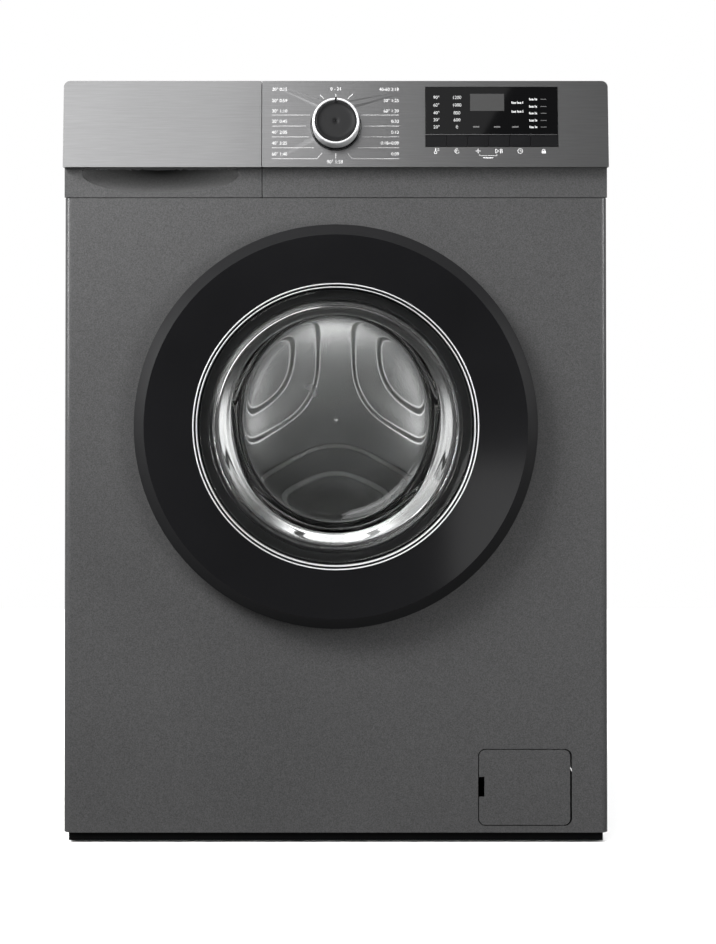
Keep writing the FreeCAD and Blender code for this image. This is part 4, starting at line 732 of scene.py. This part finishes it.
def display():
    """Figures, bars and the screen's backing behind the black window."""
    out = 0.42
    for index, (heat, speed, up) in enumerate(zip(HEATS, SPEEDS, SETTING_UP)):
        lettering("heat_%d" % index, heat, KEY_X[0] + 1.1, up, TEXT_SIZE, DIM, "CENTER", out)
        lettering("speed_%d" % index, speed, KEY_X[1], up, TEXT_SIZE, DIM, "CENTER", out)
    screen = [stroke((148.0, 72.15), (185.4, 72.15), 19.1, out)]
    printed("screen", screen, SCREEN)
    marks = ticks(194, 207, 71.8, out) + ticks(194, 207, 61.9, out)
    faint = [stroke((x, 44.7), (x + 7, 44.7), 1.6, out) for x in (151, 174, 194)]
    for up in (75.6, 67.5, 59.9, 51.9, 44.5):
        marks += ticks(213.5, 221.8, up, out)
        faint.append(stroke((225.5, up), (232, up), 0.7, out))
    printed("display_marks", marks, DIM)
    printed("display_rule", [stroke((98.4, 36.0), (243.4, 36.0), 0.7, 0.95)], SILVER)
    printed("display_dashes", faint, FAINT)


def ticks(start, end, up, out):
    """A row of short upright bars that stands in for a legend."""
    gap = 0.7
    foot = up - 1.2
    bars = []
    x = start
    while x < end:
        kind = len(bars) % 3
        wide = 0.8 + 0.5 * kind
        high = 1.8 if kind else 2.6
        bars.append(stroke((x, foot), (x, foot + high), wide, out))
        x += wide + gap
    return bars


# ---------------------------------------------------------------- hoses, springs and small parts

def springs():
    """Two coils whose ends draw in towards their lugs."""
    low, high = (corner.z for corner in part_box("suspension_springs"))
    depth = FRONT + 300 * MM
    coils = 13
    count = coils * 20
    margin = 1.6 * MM
    parts = []
    for side in (-215, 215):
        line = []
        for step in range(count + 1):
            share = step / count
            angle = 2 * math.pi * coils * share
            size = 12 * MM * min(1.0, 0.35 + 8 * min(share, 1 - share))
            line.append(Vector((side * MM + size * math.cos(angle), depth + size * math.sin(angle),
                                low + margin + (high - low - 2 * margin) * share)))
        parts.append(swept(line, 1.5 * MM, 10))
    points, faces = merged(parts)
    item = piece("hanging_springs", points, faces, SHINY)
    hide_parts("suspension_springs")
    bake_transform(item)


def fill_hose():
    """Ribbed hose from the dispenser's outlet down to the tub."""
    depth = FRONT + 240 * MM
    bottom = DOOR_Z + 196 * MM
    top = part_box("tub_hoses")[1].z
    length = (top - bottom) / MM
    x = sum(corner.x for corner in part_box("inlet_valve")) / 2
    rows = 33
    half_waves = 14
    outer, inner = 17.0, 14.3
    profile = []
    for row in range(rows + 1):
        share = row / rows
        wave = math.sin(share * math.pi * half_waves) if 0.15 < share < 0.85 else 0.0
        profile.append((share * length, outer + wave))
    profile += [(length, inner), (0, inner)]
    axis = (ACROSS, Vector((0, 1, 0)), Vector((0, 0, 1)))
    item = lathe("fill_bellows", profile, RUBBER, (x, depth, bottom), 48, 0, axis)
    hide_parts("tub_hoses")
    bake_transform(item)


def sump_hose():
    """Ribbed hose down from the tub's sump and round a bend to the pump."""
    start = Vector((90 * MM, FRONT + 90 * MM, 209 * MM))
    pump_x, pump_tube, tube_end = 208 * MM, 34 * MM, 8 * MM
    pump_height = 62 * MM
    bend = 45 * MM
    down = 4 * MM
    ahead = 3 * MM
    turns = 24
    line = [start + Vector((0, 0, -step * down)) for step in range(26)]
    corner = Vector((start.x + bend, start.y, pump_height + bend))
    for step in range(1, turns):
        angle = math.pi + math.pi / 2 * step / turns
        line.append(corner + Vector((math.cos(angle), 0, math.sin(angle))) * bend)
    end = pump_x - pump_tube - tube_end
    while line[-1].x < end - ahead:
        line.append(line[-1] + Vector((ahead, 0, 0)))
        line[-1].z = pump_height
    line.append(Vector((end, start.y, pump_height)))
    last = len(line) - 1
    radius = 20.3
    rib = 1.0

    def ribbed(index):
        inside = 5 < index < last - 4
        return (radius + (rib if inside and index % 4 < 2 else 0.0)) * MM

    points, faces = swept(line, radius * MM, 28, ribbed)
    item = piece("sump_hose", points, faces, RUBBER)
    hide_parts("tub_hoses")
    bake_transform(item)


def screw_heads():
    """Six screws round the belt cover."""
    circle = 172 * MM
    outline = [(-5.5, 0.3), (-5.5, 1.9), (0, 1.9), (0, 4.0), (1.1, 4.0), (1.9, 3.1), (2.2, 1.8),
               (1.2, 1.2), (0.9, 0.3)]
    for index in range(6):
        angle = math.radians(60 * index + 30)
        centre = Vector((circle * math.cos(angle), BACK + 1.5 * MM, DOOR_Z + circle * math.sin(angle)))
        item = lathe("cover_screw_%d" % index, outline, SHINY, centre, 24, 1)
        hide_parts("cabinet_screws")
        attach(item, "cabinet")


def rear_details():
    """Caps over the transit holes and beads pressed in the back sheet."""
    bead_half, bead_high = 9, 2.2
    outline = [(-0.9, 8.4), (0.2, 8.4), (0.2, 11.5), (1.4, 11.8), (2.6, 10.6), (3.0, 6), (3.0, 0.6),
               (1.6, 0.6), (1.6, 6.5), (-0.9, 7.2)]
    for index, (x, z) in enumerate(((-200, -130), (200, -130), (-200, 130), (200, 130))):
        centre = Vector((x * MM, BACK, DOOR_Z + z * MM))
        item = lathe("transit_cap_%d" % index, outline, TOP, centre, 40, 1)
        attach(item, "cabinet")
    for index, z in enumerate((40, 700)):
        for side in (-1, 1):
            points, faces = bead(side * 250, z, side * 120, z, bead_half, bead_high)
            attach(piece("rear_bead_%d_%d" % (index, side + 1), points, faces, ZINC),
                    "cabinet")
    for side in (-1, 1):
        points, faces = bead(side * 262, 190, side * 262, 660, bead_half, bead_high)
        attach(piece("rear_bead_side_%d" % (side + 1), points, faces, ZINC), "cabinet")


def bead(x0, z0, x1, z1, half, height):
    """A pressed stiffening bead between two places on the back sheet."""
    start, end = Vector((x0, z0)), Vector((x1, z1))
    way = (end - start).normalized()
    side = Vector((-way.y, way.x))
    points = []
    faces = []
    steps = 24
    across = 10
    total = (end - start).length
    for step in range(steps + 1):
        share = step / steps
        along = share * total
        near_end = min(along, total - along)
        squeeze = math.sqrt(max(0.0, 1 - max(0.0, 1 - near_end / half) ** 2))
        for place in range(across + 1):
            sideways = place / across * 2 - 1
            offset = sideways * half * max(squeeze, 0.02)
            lift = height * math.cos(math.pi / 2 * sideways) ** 2 * squeeze
            spot = start + way * along + side * offset
            points.append(Vector((spot.x * MM, BACK + (lift - 0.02) * MM, spot.y * MM)))
    for step in range(steps):
        for place in range(across):
            a = step * (across + 1) + place
            faces.append((a, a + 1, a + across + 2, a + across + 1))
    return points, faces


def feet_nuts():
    """A hexagonal lock nut on each foot's thread."""
    reach = 8.5
    for index, (x, y) in enumerate(((-250, 45), (250, 45), (-250, 455), (250, 455))):
        points = []
        for level in (8.6, 12.0):
            for corner in range(6):
                angle = math.radians(60 * corner + 15)
                points.append(Vector((x + reach * math.cos(angle), 0, 0)) * MM
                              + Vector((0, FRONT + (y + reach * math.sin(angle)) * MM, level * MM)))
        faces = [(i, (i + 1) % 6, (i + 1) % 6 + 6, i + 6) for i in range(6)]
        faces += [(5, 4, 3, 2, 1, 0), (6, 7, 8, 9, 10, 11)]
        item = piece("foot_nut_%d" % index, points, faces, SHINY, False)
        round_edges(item, 0.5)
        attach(item, "cabinet")


def round_edges(item, width):
    bevel = item.modifiers.new("soft_edges", "BEVEL")
    bevel.width = width * MM
    bevel.segments = 2
    bevel.limit_method = "ANGLE"


def siphon_cap():
    """The softener compartment's cap, in the middle one of three."""
    low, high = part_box("drawer_tray")
    wall = 2 * MM
    room = (high.x - low.x - 4 * wall) / 3
    x = low.x + wall + room * 1.5 + wall
    outline = [(0.2, 3), (0.2, 24), (1.6, 25.2), (5, 25.2), (6, 24), (6.5, 13), (9, 8), (26, 6.5),
               (28, 5), (28, 0.8), (24, 0.8), (22, 3)]
    axis = (ACROSS, Vector((0, 1, 0)), Vector((0, 0, 1)))
    item = lathe("siphon_cap", outline, BLUE,
                 (x, low.y + 190 * MM, low.z + 2.2 * MM), 48, 1, axis)
    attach(item, "drawer")


drum_back()
glass_bowl()
trim_ring()
gasket()
knob()
fascia_print()
key_symbols()
display()
springs()
fill_hose()
sump_hose()
screw_heads()
rear_details()
feet_nuts()
siphon_cap()


# ---------------------------------------------------------------- studio

def studio():
    """Pale floor, and a world that is white behind the object and dim in front."""
    half = 3.2
    behind = 1.5
    floor = piece("floor", [(-half, -half, 0), (half, -half, 0), (half, behind, 0), (-half, behind, 0)],
                  [(0, 1, 2, 3)], surface("pale_floor", grey(0.86), 0.55, 0.0, cloud=(0.6, 0.01),
                                          grain=(90, 0.005), bump=(120, 0.02, 0.1)), False)
    floor.visible_glossy = False
    floor.visible_transmission = False
    floor.visible_diffuse = False
    world = bpy.data.worlds.new("studio")
    bpy.context.scene.world = world
    world.use_nodes = True
    tree = world.node_tree
    shell = tree.nodes["Background"]
    spot = tree.nodes.new("ShaderNodeTexCoord")
    parts = tree.nodes.new("ShaderNodeSeparateXYZ")
    ramp = tree.nodes.new("ShaderNodeValToRGB")
    spread = tree.nodes.new("ShaderNodeMapRange")
    tree.links.new(spot.outputs["Generated"], parts.inputs[0])
    tree.links.new(parts.outputs[1], spread.inputs["Value"])
    spread.inputs["From Min"].default_value = 0.5
    spread.inputs["From Max"].default_value = 0.86
    tree.links.new(spread.outputs[0], ramp.inputs["Fac"])
    ramp.color_ramp.elements[0].color = (0.09, 0.09, 0.09, 1)
    ramp.color_ramp.elements[1].color = (1.0, 1.0, 1.0, 1)
    tree.links.new(ramp.outputs[0], shell.inputs["Color"])
    shell.inputs["Strength"].default_value = 1.0


def area(name, place, target, wide, high, power, hidden=False, matte=False, lean=0.0):
    """A soft lamp; a matte one lights without showing in gloss or through glass."""
    lamp = bpy.data.lights.new(name, "AREA")
    lamp.shape = "RECTANGLE"
    lamp.size = wide
    lamp.size_y = high
    lamp.energy = power
    item = bpy.data.objects.new(name, lamp)
    item.location = place
    aim = (Vector(target) - Vector(place)).to_track_quat("-Z", "Y").to_matrix()
    item.rotation_euler = (aim @ Matrix.Rotation(math.radians(lean), 3, "Z")).to_euler()
    bpy.context.scene.collection.objects.link(item)
    item.visible_camera = False
    item.visible_transmission = not (hidden or matte)
    item.visible_glossy = not matte


studio()
area("key", (-1.3, -1.5, 1.8), (-0.05, -0.25, 0.6), 1.1, 0.9, 108, matte=True)
area("fascia_fill", (-0.87, -2.6, 1.5), (-0.50, -0.25, 0.79), 1.5, 1.0, 13.2)
area("edge_left", (-1.35, -0.75, 0.85), (-0.3, -0.24, 0.7), 0.18, 0.7, 11)
area("edge_right", (1.35, -0.75, 0.85), (0.3, -0.24, 0.7), 0.18, 0.7, 7)
area("low_fill", (1.3, -2.2, 0.5), (0.2, -0.25, 0.3), 0.9, 0.9, 40, matte=True)
area("floor_wash", (0, 0.4, 3.0), (0, 0.4, 0.0), 5.0, 2.4, 215, matte=True)
area("door_glow", (0.50, -2.2, 0.15), (0.2, -0.29, 0.32), 0.5, 0.3, 0.60, hidden=True)
area("display_glow", (0.2545, -2.6, 1.639), (0.15, -0.27, 0.80), 0.35, 0.5, 0.28, hidden=True, lean=-30.5)
area("in_drum", (0, FRONT + 100 * MM, DOOR_Z + 152 * MM), (0, FRONT + 340 * MM, DOOR_Z + 40 * MM),
     0.22, 0.05, 0.20, hidden=True)
for side, power in ((-1, 0.05), (1, 0.06)):
    area("in_drum_%d" % (side + 1), (side * 0.152, FRONT + 100 * MM, DOOR_Z + 20 * MM),
         (side * 0.02, FRONT + 340 * MM, DOOR_Z + 40 * MM), 0.04, 0.16, power, hidden=True)

camera = bpy.data.cameras.new("camera")
camera.sensor_width = 36
camera.lens = 66.26
camera.shift_x = 0.0235
camera.shift_y = -0.1517
viewer = bpy.data.objects.new("camera", camera)
viewer.location = (0, -2.158, 0.5404)
viewer.rotation_euler = (math.radians(90.778), 0, 0)
bpy.context.scene.collection.objects.link(viewer)
bpy.context.scene.camera = viewer
bpy.context.scene.view_settings.view_transform = "Standard"
